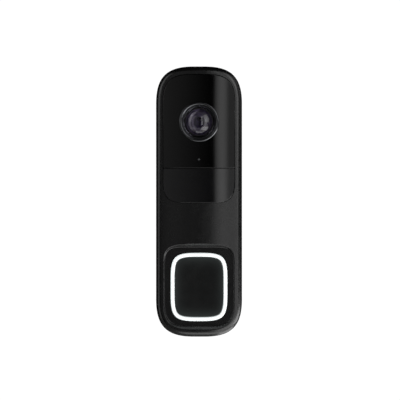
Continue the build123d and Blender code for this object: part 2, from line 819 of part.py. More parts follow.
def button_cap():
    """Call button: slightly hollow cap with a flange behind the ring and a plunger."""
    edge = RING_STROKE + CAP_GAP
    body = slab(ring_outline(edge), CAP_BACK, CAP_TOP)
    body = fillet(edges_at(body, CAP_TOP), CAP_EDGE_R)
    body -= Pos(0, -CAP_DISH_DEPTH - CAP_DISH_R, BUTTON_Z) * Sphere(CAP_DISH_R)
    body += slab(ring_outline(edge - CAP_FLANGE), CAP_BACK, CAP_FLANGE_TOP)
    body -= slab(ring_outline(edge + CAP_WALL), CAP_BACK, CAP_ROOF)
    return body + disc(0, BUTTON_Z, PLUNGER_R, PLUNGER_END, CAP_ROOF)


def led_places():
    """Places of the eight lamps behind the ring."""
    return [
        (side * x, BUTTON_Z + up * z) for x, z in LED_PLACES for side in (-1, 1) for up in (-1, 1)
    ]


def clear_of_screws(body, back, front):
    """Cut round the housing screw posts."""
    for x, z in both_sides(HOUSING_SCREWS):
        body -= disc(x, z, BOSS_R + 2 * LOOSE, back, front)
    return body


def button_carrier():
    """Plate behind the ring: guides the plunger and passes the lamps' light."""
    half_w, low, high = CARRIER
    back = RING_BACK - CARRIER_T
    body = slab(outline(half_w, low, high, CARRIER_CORNER, CARRIER_CORNER), back, RING_BACK)
    body = clear_of_screws(body, back, RING_BACK)
    body += disc(0, BUTTON_Z, COLLAR_R, COLLAR_END, RING_BACK)
    for x, z in both_sides(BUTTON_SCREWS):
        body += disc(x, z, BUTTON_POST_R, BUTTON_BOARD_FRONT, RING_BACK)
        body -= disc(x, z, BOARD_SCREW_R + LOOSE / 2, BUTTON_BOARD_FRONT, RING_BACK)
    for x, z in led_places():
        body -= disc(x, z, LED_HOLE_R, back, RING_BACK)
    body -= block(0, low, MIC_BOOT_W + 2 * LOOSE, 2 * (MIC_BOOT_Z - low + LOOSE), back, RING_BACK)
    body -= disc(0, BUTTON_Z, SEAL_R, RING_BACK - SEAL_T, RING_BACK)
    return body - disc(0, BUTTON_Z, PLUNGER_R + FIT_GAP, COLLAR_END, RING_BACK)


def plunger_seal():
    """Soft ring round the plunger."""
    back = RING_BACK - SEAL_T
    body = disc(0, BUTTON_Z, SEAL_R - FIT_GAP, back, RING_BACK - FIT_GAP)
    return body - disc(0, BUTTON_Z, PLUNGER_R + FIT_GAP, back, RING_BACK)


def button_board():
    """Board behind the button, with the lamps, switch and microphone."""
    half_w, low, high = BUTTON_BOARD
    front = BUTTON_BOARD_FRONT
    face = outline(half_w, low, high, BUTTON_BOARD_CORNER, BUTTON_BOARD_CORNER)
    body = slab(face, front - BOARD_T, front)
    body = clear_of_screws(body, front - BOARD_T, front)
    for x, z in both_sides(BUTTON_SCREWS):
        body += disc(x, z, BUTTON_POST_R, front - BOARD_T, front)
        body -= disc(x, z, BOARD_SCREW_R + LOOSE / 2, front - BOARD_T, front)
    return body


def ring_lamps():
    """Eight small lamps that light the ring from behind."""
    width, height, thick = LED
    front = BUTTON_BOARD_FRONT + thick
    return group(block(x, z, width, height, BUTTON_BOARD_FRONT, front) for x, z in led_places())


def button_switch():
    """Switch body with its metal-framed top."""
    front = BUTTON_BOARD_FRONT + SWITCH_T
    body = block(0, BUTTON_Z, SWITCH_W, SWITCH_W, BUTTON_BOARD_FRONT, front)
    return body - disc(0, BUTTON_Z, STEM_R + FIT_GAP, STEM_HOLE_BACK, front)


def switch_stem():
    """The switch's moving stem, under the plunger."""
    return disc(0, BUTTON_Z, STEM_R, STEM_BACK, STEM_FRONT)


def microphone():
    """Microphone package with its sound hole."""
    width, height, thick = MIC
    top = BUTTON_BOARD_FRONT + thick
    body = block(0, MIC_Z, width, height, BUTTON_BOARD_FRONT, top)
    return body - disc(0, MIC_Z, MIC_PORT_R, top - thick / 2, top)


def microphone_boot():
    """Rubber tunnel from the sound hole in the underside to the microphone."""
    width, height, thick = MIC
    low = WALL + FIT_GAP - HEIGHT / 2
    span = MIC_BOOT_Z - low
    body = block(0, low + span / 2, MIC_BOOT_W, span, BUTTON_BOARD_FRONT + FIT_GAP, MIC_BOOT_TOP)
    top = BUTTON_BOARD_FRONT + thick + FIT_GAP
    body -= block(0, MIC_Z, width + 2 * FIT_GAP, height + 2 * FIT_GAP, BUTTON_BOARD_FRONT, top)
    body -= block(0, low, MIC_BOOT_W, 2 * (RIM - WALL), BUTTON_BOARD_FRONT, PART_LINE + RIM_T + FIT_GAP)
    body -= disc(0, MIC_Z, MIC_PORT_R, BUTTON_BOARD_FRONT, MIC_PORT_DEPTH)
    tunnel = MIC_Z - low
    return body - Pos(0, -MIC_PORT_DEPTH, low + tunnel / 2) * Cylinder(MIC_PORT_R, tunnel)


# Speaker

def speaker_box(shrink, x_from, x_to):
    """A block in the speaker's place, smaller all round by an amount."""
    back, front = SPEAKER_DEPTH
    deep = front - back - 2 * shrink
    size = Box(x_to - x_from, deep, SPEAKER_L - 2 * shrink)
    size = fillet(size.edges().filter_by(Axis.X), deep / 5)
    return Pos((x_from + x_to) / 2, -(back + front) / 2, SPEAKER_Z) * size


def speaker_frame():
    """Speaker basket, open towards the slots."""
    x_out, x_in = SPEAKER_X
    body = speaker_box(0, x_out, x_in)
    return body - speaker_box(SPEAKER_WALL, x_out - 1, x_in - SPEAKER_WALL)


def speaker_diaphragm():
    """Speaker diaphragm with a raised middle."""
    x_out = SPEAKER_X[0]
    gap = SPEAKER_WALL + FIT_GAP
    body = speaker_box(gap, x_out + WALL / 2, x_out + WALL)
    return body + speaker_box(gap + WALL, x_out + WALL / 4, x_out + WALL)


def speaker_magnet():
    """Speaker magnet behind the diaphragm."""
    x_out, x_in = SPEAKER_X
    return speaker_box(2 * SPEAKER_WALL, x_out + 2 * WALL - LOOSE, x_in - SPEAKER_WALL)


def speaker_gasket():
    """Foam frame between the speaker and the side wall."""
    wall_in = WALL - WIDTH / 2
    x_out = SPEAKER_X[0]
    body = speaker_box(0, wall_in, x_out)
    return body - speaker_box(SPEAKER_WALL + LOOSE, wall_in - 1, x_out + 1)


def speaker_mesh():
    """Fine mesh sheet behind the slots, drawn as a thin sheet."""
    wall_in = WALL - WIDTH / 2
    return speaker_box(SPEAKER_WALL + 2 * LOOSE, wall_in + FIT_GAP, wall_in + FIT_GAP + LOOSE)


# Main board and power

def main_board():
    """Main circuit board."""
    width, low, high = MAIN_BOARD
    x, post_low, post_high = MAIN_POSTS
    holes = both_sides([(x, post_low), (x, post_high)])
    body = board(0, (low + high) / 2, width, high - low, BOARD_FRONT, holes)
    for side in (-1, 1):
        pin_z = sum(TERMINAL_Z) / 2
        hole_r = TERMINAL_PIN_R + LOOSE / 2
        body -= disc(side * TERMINAL_X, pin_z, hole_r, BOARD_FRONT - BOARD_T, BOARD_FRONT)
    return body


def board_screws():
    """Equal small screws that hold the boards."""
    main_x, main_low, main_high = MAIN_POSTS
    camera_x, camera_z = CAMERA_POSTS
    seats = [(x, z, BOARD_FRONT - BOARD_T) for x, z in both_sides([(main_x, main_low), (main_x, main_high)])]
    heights = [(camera_x, LENS_Z - camera_z), (camera_x, LENS_Z + camera_z)]
    seats += [(x, z, BOARD_FRONT - BOARD_T) for x, z in both_sides(heights)]
    head_t = BOARD_SCREW_HEAD[1]
    shank_r = POST_BORE_R - FIT_GAP
    return group(
        screw(x, z, BOARD_SCREW_HEAD, shank_r, seat - head_t, seat + BOARD_SCREW_L) for x, z, seat in seats
    )


def ir_screws():
    """Two short screws for the lamp board."""
    head_t = BOARD_SCREW_HEAD[1]
    seat = IR_BOARD_FRONT - IR_BOARD[2]
    shank_r = POST_BORE_R - FIT_GAP
    end = IR_BOARD_FRONT + BOARD_SCREW_L / 2 - LOOSE
    return group(
        screw(x, z, BOARD_SCREW_HEAD, shank_r, seat - head_t, end)
        for x, z in both_sides([(IR_POST_X, IR_Z)])
    )


def button_screws():
    """Four long screws through the button board and the carrier."""
    head_t = BOARD_SCREW_HEAD[1]
    seat = BUTTON_BOARD_FRONT - BOARD_T
    shank_r = POST_BORE_R - FIT_GAP
    end = RING_BACK + BOARD_SCREW_L / 2 - LOOSE
    return group(
        screw(x, z, BOARD_SCREW_HEAD, shank_r, seat - head_t, end) for x, z in both_sides(BUTTON_SCREWS)
    )


def shield_can():
    """Metal can over the radio and the processor."""
    width, height, thick = SHIELD
    top = BOARD_FRONT + thick
    body = block(0, SHIELD_Z, width, height, BOARD_FRONT, top)
    body = fillet(body.edges().filter_by(Axis.Y), WINDOW_EDGE_R * 2)
    body = fillet(edges_at(body, top), WINDOW_EDGE_R)
    return body - block(0, SHIELD_Z, width - LOOSE * 2, height - LOOSE * 2, BOARD_FRONT, top - LOOSE)


def chips():
    """Bare chip packages on the main board."""
    return group(
        block(x, z, width, height, BOARD_FRONT, BOARD_FRONT + thick) for x, z, width, height, thick in CHIPS
    )


def connectors():
    """Cable sockets on the back of the main board."""
    width, height, thick = CONNECTOR
    back = BOARD_FRONT - BOARD_T
    return group(block(x, z, width, height, back - thick, back) for x, z in CONNECTORS)


def backup_cell():
    """Flat pouch cell that carries the camera through a chime pulse."""
    left, right, low, high = CELL
    back, front = CELL_DEPTH
    middle = (left + right) / 2
    body = block(middle, (low + high) / 2, right - left, high - low, back, front)
    body = fillet(body.edges().filter_by(Axis.Z), WALL / 2)
    lip = CELL_LIP
    half = (back + front) / 2
    return body + block(middle, high + lip, right - left - 2 * lip, 2 * lip, half - lip / 2, half + lip / 2)


def terminal_block():
    """Insulating block that carries the two supply terminals."""
    low, high = TERMINAL_Z
    middle = (low + high) / 2
    body = block(0, middle, TERMINAL_W, high - low, TERMINAL_TOP, RECESS_DEPTH - FIT_GAP)
    for side in (-1, 1):
        body -= block(side * TERMINAL_X, high - WALL, 2 * WALL, 2 * WALL, 0, TERMINAL_TOP + LOOSE)
        body -= disc(side * TERMINAL_X, middle, TERMINAL_SCREW_R + FIT_GAP, TERMINAL_TOP, RECESS_DEPTH)
    return body


def terminal_pins():
    """Two pins that carry the supply from the terminals to the main board."""
    middle = sum(TERMINAL_Z) / 2
    front = BOARD_FRONT + WALL / 4
    return group(
        disc(side * TERMINAL_X, middle, TERMINAL_PIN_R, RECESS_DEPTH, front) for side in (-1, 1)
    )


def terminal_screws():
    """Two clamp screws, reached from the wall side."""
    middle = sum(TERMINAL_Z) / 2
    head_back = TERMINAL_TOP - TERMINAL_HEAD[1]
    end = RECESS_DEPTH - FIT_GAP
    return group(
        screw(side * TERMINAL_X, middle, TERMINAL_HEAD, TERMINAL_SCREW_R, head_back, end)
        for side in (-1, 1)
    )


# Service button, tamper plunger and their switches

def reset_button():
    """Service button, sunk in the back so that only a pin or a fingertip reaches it."""
    x, z = RESET_AT
    body = disc(x, z, RESET_R, BACK + RESET_SUNK, BACK + 2 * BACK_WALL)
    body = fillet(edges_at(body, BACK + RESET_SUNK), WINDOW_EDGE_R)
    return body + disc(x, z, RESET_STEM_R, BACK + 2 * BACK_WALL, RESET_FRONT)


def tamper_plunger():
    """Plunger whose tip meets the bracket while the doorbell is mounted."""
    x, z = TAMPER_AT
    body = disc(x, z, TAMPER_R, BRACKET_T + FIT_GAP / 2, TAMPER_FRONT)
    return fillet(edges_at(body, BRACKET_T + FIT_GAP / 2), WINDOW_EDGE_R)


def small_switches():
    """Low switch bodies under the service button and the tamper plunger."""
    width, thick = SMALL_SWITCH
    front = BOARD_FRONT - BOARD_T
    bodies = []
    for x, z in (RESET_AT, TAMPER_AT):
        body = block(x, z, width, width, front - thick, front)
        bodies.append(body - disc(x, z, SMALL_STEM_R + FIT_GAP, front - thick, front - LOOSE))
    return group(bodies)


def small_stem(place, front):
    """A small switch's moving stem."""
    x, z = place
    return disc(x, z, SMALL_STEM_R, front + FIT_GAP / 2, BOARD_FRONT - BOARD_T - 4 * LOOSE)


def reset_stem():
    """Stem of the service switch."""
    return small_stem(RESET_AT, RESET_FRONT)


def tamper_stem():
    """Stem of the tamper switch."""
    return small_stem(TAMPER_AT, TAMPER_FRONT)


# Cables

def antenna():
    """Flexible antenna stuck to the inside of the back wall."""
    width, height, thick = ANTENNA
    back = BACK + BACK_WALL
    return block(0, ANTENNA_Z, width, height, back, back + thick)


def cable(points, radius):
    """A round cable along a smooth path through points of (x, depth, z)."""
    path = Spline(*[(x, -depth, z) for x, depth, z in points])
    section = Plane(path @ 0, z_dir=path % 0) * Circle(radius)
    return sweep(section, path)


def antenna_cable():
    """Thin coaxial cable from the antenna to the main board. Its points are chosen by hand."""
    start = BACK + BACK_WALL + ANTENNA[2] + CABLE_R
    end = BOARD_FRONT - BOARD_T - CABLE_R
    points = [(6, start, 57.5), (13.5, start + 1, 50), (16.6, 7.6, 40), (15.2, 9.2, 31.5), (9.5, end, 26.9)]
    return cable(points, CABLE_R)


def ribbon(place, points):
    """A flat cable that bends only up and down, through points of (depth, z)."""
    x, width = place
    line = FilletPolyline(*[(-depth, z) for depth, z in points], radius=RIBBON_BEND)
    strip = make_face(offset(line, RIBBON_T / 2, side=Side.BOTH).edges())
    return extrude(Plane.YZ.offset(x - width / 2) * strip, width)


def camera_cable():
    """Flat cable from the camera board to the main board."""
    joined = BOARD_FRONT - BOARD_T - RIBBON_T
    sag = joined - RIBBON_SAG
    return ribbon(CAMERA_RIBBON, [(joined, 33.0), (sag, 31.5), (sag, 25.0), (joined, 23.5)])


def button_cable():
    """Flat cable from the button board to the main board."""
    joined = BUTTON_BOARD_FRONT - BOARD_T - RIBBON_T
    sag = joined - RIBBON_SAG
    end = BOARD_FRONT - BOARD_T - CONNECTOR[2] / 2
    return ribbon(BUTTON_RIBBON, [(joined, -30.0), (sag, -26.0), (end + LOOSE, -21.5), (end, -19.6)])


# Wall bracket

def wall_bracket():
    """Wall plate with hooks, wall screw slots, a wire opening and the lock tab."""
    face = body_outline(BRACKET_INSET)
    body = slab(face, 0, BRACKET_T)
    body = chamfer(edges_at(body, BRACKET_T), BRACKET_EDGE)
    width, low, high = WIRE_OPENING
    body -= slab(outline(width / 2, low, high, WIRE_CORNER, WIRE_CORNER), 0, BRACKET_T)
    long, wide = WALL_SLOT
    for up in (-1, 1):
        place = Pos(0, up * WALL_SLOT_Z)
        slot = place * SlotOverall(long, wide, rotation=90)
        spread = 2 * COUNTERSINK
        mouth = place * SlotOverall(long + spread, wide + spread, rotation=90)
        body -= slab(slot, 0, BRACKET_T)
        body -= loft(
            [Plane.XZ.offset(BRACKET_T - COUNTERSINK) * slot, Plane.XZ.offset(BRACKET_T) * mouth], ruled=True
        )
    for side in (-1, 1):
        for z in HOOK_Z:
            front = BACK + BACK_WALL + 2 * FIT_GAP
            body += block(side * HOOK_X, z - HOOK_NECK / 2, HOOK_W, HOOK_NECK, 0, front + HOOK_LIP_T)
            tall = HOOK_NECK + HOOK_LIP
            body += block(side * HOOK_X, z - HOOK_NECK + tall / 2, HOOK_W, tall, front, front + HOOK_LIP_T)
    low, high = TAB_Z
    tab = block(0, (low + high) / 2, TAB_W, high - low, 0, TAB_END)
    web = block(0, (low + high) / 2 + WALL / 2, TAB_W, high - low + WALL, 0, BRACKET_T)
    body += tab + web
    head_r, head_t = LOCK_HEAD
    body -= Pos(0, -LOCK_DEPTH, low) * Cylinder(LOCK_R + LOOSE, 2 * (high - low + LOOSE))
    return body - Pos(0, -LOCK_DEPTH, low) * Cylinder(head_r + LOOSE, 2 * head_t)


def security_screw():
    """Screw that locks the doorbell to the bracket, driven from below."""
    head_r, head_t = LOCK_HEAD
    low = TAB_Z[0]
    head = Pos(0, -LOCK_DEPTH, low + head_t / 2) * Cylinder(head_r, head_t)
    long = LOCK_TOP - low
    shank = Pos(0, -LOCK_DEPTH, low + long / 2) * Cylinder(LOCK_R, long)
    socket = Plane(origin=(0, -LOCK_DEPTH, low)) * RegularPolygon(DRIVE_R, 6)
    return head + shank - extrude(socket, DRIVE_DEPTH)


PARTS = {
    "front_housing": front_housing,
    "rear_housing": rear_housing,
    "main_seal": main_seal,
    "housing_screws": housing_screws,
    "camera_window": camera_window,
    "motion_window": motion_window,
    "window_tapes": window_tapes,
    "lens_bezel": lens_bezel,
    "lens_barrel": lens_barrel,
    "front_lens": front_lens,
    "lens_stop": lens_stop,
    "inner_lens": inner_lens,
    "rear_lens": rear_lens,
    "lens_holder": lens_holder,
    "image_sensor": image_sensor,
    "camera_board": camera_board,
    "ir_board": ir_board,
    "ir_lamps": ir_lamps,
    "ir_screws": ir_screws,
    "light_pipe": light_pipe,
    "light_sensor": light_sensor,
    "motion_sensor": motion_sensor,
    "button_light_ring": button_light_ring,
    "button_cap": button_cap,
    "button_carrier": button_carrier,
    "plunger_seal": plunger_seal,
    "button_board": button_board,
    "ring_lamps": ring_lamps,
    "button_switch": button_switch,
    "switch_stem": switch_stem,
    "button_screws": button_screws,
    "microphone": microphone,
    "microphone_boot": microphone_boot,
    "speaker_frame": speaker_frame,
    "speaker_diaphragm": speaker_diaphragm,
    "speaker_magnet": speaker_magnet,
    "speaker_gasket": speaker_gasket,
    "speaker_mesh": speaker_mesh,
    "main_board": main_board,
    "board_screws": board_screws,
    "shield_can": shield_can,
    "chips": chips,
    "connectors": connectors,
    "backup_cell": backup_cell,
    "terminal_block": terminal_block,
    "terminal_pins": terminal_pins,
    "terminal_screws": terminal_screws,
    "reset_button": reset_button,
    "reset_stem": reset_stem,
    "tamper_plunger": tamper_plunger,
    "tamper_stem": tamper_stem,
    "small_switches": small_switches,
    "antenna": antenna,
    "antenna_cable": antenna_cable,
    "camera_cable": camera_cable,
    "button_cable": button_cable,
    "wall_bracket": wall_bracket,
    "security_screw": security_screw,
}

os.makedirs("parts", exist_ok=True)
for name, make in PARTS.items():
    export_step(make(), f"parts/{name}.step")
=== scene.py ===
import math
import bmesh
import bpy
from mathutils import Matrix, Vector


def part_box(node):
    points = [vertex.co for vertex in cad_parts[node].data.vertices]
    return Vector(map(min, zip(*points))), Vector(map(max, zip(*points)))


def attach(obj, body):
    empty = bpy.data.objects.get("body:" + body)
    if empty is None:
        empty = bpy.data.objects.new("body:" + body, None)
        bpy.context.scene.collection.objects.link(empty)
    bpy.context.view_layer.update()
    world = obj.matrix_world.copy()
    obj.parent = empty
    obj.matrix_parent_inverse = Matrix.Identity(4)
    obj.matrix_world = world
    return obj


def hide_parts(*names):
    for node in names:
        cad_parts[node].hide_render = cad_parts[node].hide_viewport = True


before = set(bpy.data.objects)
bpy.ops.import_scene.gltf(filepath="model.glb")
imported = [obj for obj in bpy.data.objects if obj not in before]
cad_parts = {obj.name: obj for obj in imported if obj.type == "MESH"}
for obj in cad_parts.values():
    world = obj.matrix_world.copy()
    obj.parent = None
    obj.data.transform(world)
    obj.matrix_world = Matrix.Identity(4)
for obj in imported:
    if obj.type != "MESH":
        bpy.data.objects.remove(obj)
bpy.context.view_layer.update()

MM = 0.001


# Wall bracket
# A flat moulded plate of glass-filled polycarbonate, screwed to the wall through two slots.
# It has a dry spark-eroded grain all over and four hooks that hold the doorbell.

def linear(code):
    """An sRGB hex colour as linear red, green, blue and alpha."""
    shares = [int(code[place:place + 2], 16) / 255 for place in (1, 3, 5)]
    turned = [s / 12.92 if s <= 0.04045 else ((s + 0.055) / 1.055) ** 2.4 for s in shares]
    return (*turned, 1.0)


def add_node(tree, kind, inputs=None, **settings):
    """Adds a node. An input is a value, or the output socket that it is linked to."""
    made = tree.nodes.new(kind)
    for name, value in settings.items():
        setattr(made, name, value)
    for socket, value in (inputs or {}).items():
        if isinstance(value, bpy.types.NodeSocket):
            tree.links.new(value, made.inputs[socket])
        else:
            made.inputs[socket].default_value = value
    return made


def new_material(name, **uniform):
    """A material with one shader, whose uniform values are set on its own sockets."""
    material = bpy.data.materials.new(name)
    material.use_nodes = True
    shader = material.node_tree.nodes["Principled BSDF"]
    for socket, value in uniform.items():
        shader.inputs[socket.replace("_", " ")].default_value = value
    return material, material.node_tree, shader


def patches(tree, size, low, high):
    """Soft noise with patches of one size in metres, between two values."""
    place = add_node(tree, "ShaderNodeTexCoord")
    noise = add_node(tree, "ShaderNodeTexNoise", {
        "Vector": place.outputs["Object"], "Scale": 1 / size, "Detail": 2.0,
    })
    return add_node(tree, "ShaderNodeMapRange", {
        "Value": noise.outputs["Fac"], "From Min": 0.3, "From Max": 0.7, "To Min": low, "To Max": high,
    }).outputs["Result"]


TONE_PATCH = 9 * MM
GLOSS_PATCH = 4 * MM


def finish_with(name, dark, light, rough, spread, grain_size, grain_height, **uniform):
    """A finish with two near tones, a small change in gloss, and a fine grain."""
    material, tree, shader = new_material(name, **uniform)
    tone = add_node(tree, "ShaderNodeMix", {
        "Factor": patches(tree, TONE_PATCH, 0.0, 1.0), "A": linear(dark), "B": linear(light),
    }, data_type="RGBA")
    gloss = patches(tree, GLOSS_PATCH, rough - spread, rough + spread)
    relief = add_node(tree, "ShaderNodeBump", {
        "Height": patches(tree, grain_size, 0.0, 1.0), "Distance": grain_height, "Strength": 1.0,
    })
    tree.links.new(tone.outputs["Result"], shader.inputs["Base Color"])
    tree.links.new(gloss, shader.inputs["Roughness"])
    tree.links.new(relief.outputs["Normal"], shader.inputs["Normal"])
    return material


def dress(material, *nodes):
    """Gives CAD nodes a material in place of their plain one."""
    for name in nodes:
        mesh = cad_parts[name].data
        mesh.materials.clear()
        mesh.materials.append(material)


# Glass-filled polycarbonate, spark-eroded: dry black with a grain that shows as 0.3 mm grit.
BRACKET = finish_with(
    "grained_black_polycarbonate", "#1a1b1d", "#212225", 0.55, 0.05, 0.3 * MM, 0.006 * MM, IOR=1.58
)
dress(BRACKET, "wall_bracket")


# Housings
# Two shells of black polycarbonate, injection moulded, that meet at a fine bevelled line round the
# sides. The front one is satin with a soft sheen, and the rear one is a little drier.

# Satin polycarbonate: broad soft reflections over a faint grain, deepest black away from light.
SHELL = finish_with(
    "satin_black_polycarbonate", "#070708", "#090909", 0.26, 0.02, 0.35 * MM, 0.0008 * MM, IOR=1.58
)
# The same resin with a coarser mould finish, so its highlights are wider and greyer.
REAR_SHELL = finish_with(
    "fine_grained_black_polycarbonate", "#101112", "#141516", 0.4, 0.03, 0.35 * MM, 0.003 * MM, IOR=1.58
)
dress(SHELL, "front_housing")
dress(REAR_SHELL, "rear_housing")


# Screws
# Small pan-head machine screws with a six-sided socket and a rolled thread: black oxide for the
# housings and the lock, zinc plate for the boards, and brass for the terminals.

def new_tree(name, **sockets):
    """A geometry tree with named inputs. Returns it with its input and output nodes."""
    tree = bpy.data.node_groups.new(name, "GeometryNodeTree")
    tree.interface.new_socket("Geometry", in_out="INPUT", socket_type="NodeSocketGeometry")
    for socket, kind in sockets.items():
        label = socket.replace("_", " ")
        tree.interface.new_socket(label, in_out="INPUT", socket_type="NodeSocket" + kind)
    tree.interface.new_socket("Geometry", in_out="OUTPUT", socket_type="NodeSocketGeometry")
    return tree, tree.nodes.new("NodeGroupInput"), tree.nodes.new("NodeGroupOutput")


def end_tree(tree, source, result, geometry):
    """Ends a tree: instances made real, and the material set."""
    real = add_node(tree, "GeometryNodeRealizeInstances", {"Geometry": geometry})
    dressed = add_node(tree, "GeometryNodeSetMaterial", {
        "Geometry": real.outputs["Geometry"], "Material": source.outputs["Material"],
    })
    tree.links.new(dressed.outputs["Geometry"], result.inputs["Geometry"])


def grow(name, tree, points, edges, **values):
    """Runs a tree on a few points and edges, and returns the result as a plain mesh object."""
    base = bpy.data.meshes.new(name)
    base.from_pydata(points, edges, [])
    piece = bpy.data.objects.new(name, base)
    bpy.context.scene.collection.objects.link(piece)
    modifier = piece.modifiers.new(name, "NODES")
    modifier.node_group = tree
    for item in tree.interface.items_tree:
        if item.in_out == "INPUT" and item.name.replace(" ", "_") in values:
            modifier[item.identifier] = values[item.name.replace(" ", "_")]
    graph = bpy.context.evaluated_depsgraph_get()
    mesh = bpy.data.meshes.new_from_object(piece.evaluated_get(graph))
    mesh.materials.clear()
    mesh.materials.append(values["Material"])
    mesh.polygons.foreach_set("material_index", [0] * len(mesh.polygons))
    piece.data = mesh
    piece.modifiers.remove(modifier)
    return piece


def stand_in(piece, body, slot, *nodes):
    """Says what a piece rides on, and which CAD nodes it stands for. Its slot is not used."""
    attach(piece, body)
    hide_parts(*nodes)


def solids_of(node):
    """The box of each separate solid in a CAD node, as pairs of corners."""
    shape = bmesh.new()
    shape.from_mesh(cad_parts[node].data)
    bmesh.ops.remove_doubles(shape, verts=shape.verts, dist=0.001 * MM)
    waiting = set(shape.verts)
    boxes = []
    while waiting:
        found = [waiting.pop()]
        for vertex in found:
            linked = {edge.other_vert(vertex) for edge in vertex.link_edges} & waiting
            waiting -= linked
            found.extend(linked)
        sides = list(zip(*[vertex.co for vertex in found]))
        boxes.append((Vector(map(min, sides)), Vector(map(max, sides))))
    shape.free()
    return sorted(boxes, key=lambda box: tuple(box[0]))


def part_below(tree, mesh, top, height):
    """Moves a part that is centred on zero, so that its top lies at a height."""
    half = add_node(tree, "ShaderNodeMath", {0: height, 1: 0.5}, operation="MULTIPLY").outputs[0]
    middle = add_node(tree, "ShaderNodeMath", {0: top, 1: half}, operation="SUBTRACT").outputs[0]
    shift = add_node(tree, "ShaderNodeCombineXYZ", {"Z": middle})
    return add_node(tree, "GeometryNodeTransform", {
        "Geometry": mesh, "Translation": shift.outputs["Vector"],
    }).outputs["Geometry"]


HEAD_SIDES = 40
CORE_SIDES = 24
SOCKET_SIDES = 6
THREAD_STEPS = 16
RIDGE_SHARE = 0.28
SCREW_TREE, source, result = new_tree(
    "socket_screw", Head_radius="Float", Head_height="Float", Socket_radius="Float", Core_radius="Float",
    Length="Float", Pitch="Float", Turn="Vector", Material="Material",
)
size = source.outputs
tree = SCREW_TREE
rim = add_node(tree, "GeometryNodeCurvePrimitiveCircle", {
    "Radius": size["Head radius"], "Resolution": HEAD_SIDES,
})
socket = add_node(tree, "GeometryNodeCurvePrimitiveCircle", {
    "Radius": size["Socket radius"], "Resolution": SOCKET_SIDES,
})
face_lines = add_node(tree, "GeometryNodeJoinGeometry")
tree.links.new(rim.outputs["Curve"], face_lines.inputs["Geometry"])
tree.links.new(socket.outputs["Curve"], face_lines.inputs["Geometry"])
face = add_node(tree, "GeometryNodeFillCurve", {"Curve": face_lines.outputs["Geometry"]})
half_head = add_node(tree, "ShaderNodeMath", {
    0: size["Head height"], 1: 0.5,
}, operation="MULTIPLY").outputs[0]
less = add_node(tree, "ShaderNodeMath", {0: half_head, 1: -1.0}, operation="MULTIPLY").outputs[0]
drop = add_node(tree, "ShaderNodeCombineXYZ", {"Z": less})
low_face = add_node(tree, "GeometryNodeTransform", {
    "Geometry": face.outputs["Mesh"], "Translation": drop.outputs["Vector"],
})
upper = add_node(tree, "GeometryNodeExtrudeMesh", {
    "Mesh": low_face.outputs["Geometry"], "Offset Scale": half_head, "Individual": False,
})
plate = add_node(tree, "GeometryNodeMeshCylinder", {
    "Vertices": HEAD_SIDES, "Radius": size["Head radius"], "Depth": half_head,
})
core = add_node(tree, "GeometryNodeMeshCylinder", {
    "Vertices": CORE_SIDES, "Radius": size["Core radius"], "Depth": size["Length"],
})
turns = add_node(tree, "ShaderNodeMath", {
    0: size["Length"], 1: size["Pitch"],
}, operation="DIVIDE").outputs[0]
helix = add_node(tree, "GeometryNodeCurveSpiral", {
    "Resolution": THREAD_STEPS, "Rotations": turns, "Start Radius": size["Core radius"],
    "End Radius": size["Core radius"], "Height": size["Length"],
})
ridge_r = add_node(tree, "ShaderNodeMath", {
    0: size["Pitch"], 1: RIDGE_SHARE,
}, operation="MULTIPLY").outputs[0]
ridge = add_node(tree, "GeometryNodeCurvePrimitiveCircle", {"Radius": ridge_r, "Resolution": 4})
thread = add_node(tree, "GeometryNodeCurveToMesh", {
    "Curve": helix.outputs["Curve"], "Profile Curve": ridge.outputs["Curve"], "Fill Caps": True,
})
under_head = add_node(tree, "ShaderNodeMath", {
    0: size["Head height"], 1: -1.0,
}, operation="MULTIPLY").outputs[0]
tip = add_node(tree, "ShaderNodeMath", {
    0: under_head, 1: size["Length"],
}, operation="SUBTRACT").outputs[0]
tip_place = add_node(tree, "ShaderNodeCombineXYZ", {"Z": tip})
low_thread = add_node(tree, "GeometryNodeTransform", {
    "Geometry": thread.outputs["Mesh"], "Translation": tip_place.outputs["Vector"],
})
whole = add_node(tree, "GeometryNodeJoinGeometry")
for part in (
    upper.outputs["Mesh"],
    part_below(tree, plate.outputs["Mesh"], less, half_head),
    part_below(tree, core.outputs["Mesh"], under_head, size["Length"]),
    low_thread.outputs["Geometry"],
):
    tree.links.new(part, whole.inputs["Geometry"])
turn = add_node(tree, "FunctionNodeEulerToRotation", {"Euler": size["Turn"]})
placed = add_node(tree, "GeometryNodeInstanceOnPoints", {
    "Points": size["Geometry"], "Instance": whole.outputs["Geometry"],
    "Rotation": turn.outputs["Rotation"],
})
end_tree(tree, source, result, placed.outputs["Instances"])


def screws(node, body, slot, material, head_height, head_radius, core_radius, pitch, out):
    """Stands detailed screws in the places of a CAD node's solids. Out is where the heads face."""
    boxes = solids_of(node)
    along = 1 if abs(out.y) > 0.5 else 2
    heads = []
    for low, high in boxes:
        middle = (low + high) / 2
        middle[along] = high[along] if out[along] > 0 else low[along]
        heads.append(middle)
    first_low, first_high = boxes[0]
    length = first_high[along] - first_low[along] - head_height
    piece = grow(
        "threaded_" + node, SCREW_TREE, heads, [], Head_radius=head_radius, Head_height=head_height,
        Socket_radius=head_radius / 2, Core_radius=core_radius, Length=length,
        Pitch=pitch, Turn=Vector((0, 0, 1)).rotation_difference(out).to_euler(), Material=material,
    )
    stand_in(piece, body, slot, node)


TO_WALL = Vector((0, 1, 0))
DOWN = Vector((0, 0, -1))
# Black oxide on steel: near-black metal with a dull warm highlight.
BLACK_STEEL = finish_with(
    "black_oxide_steel", "#1c1c1e", "#29292c", 0.38, 0.06, 0.4 * MM, 0.002 * MM, Metallic=1.0
)
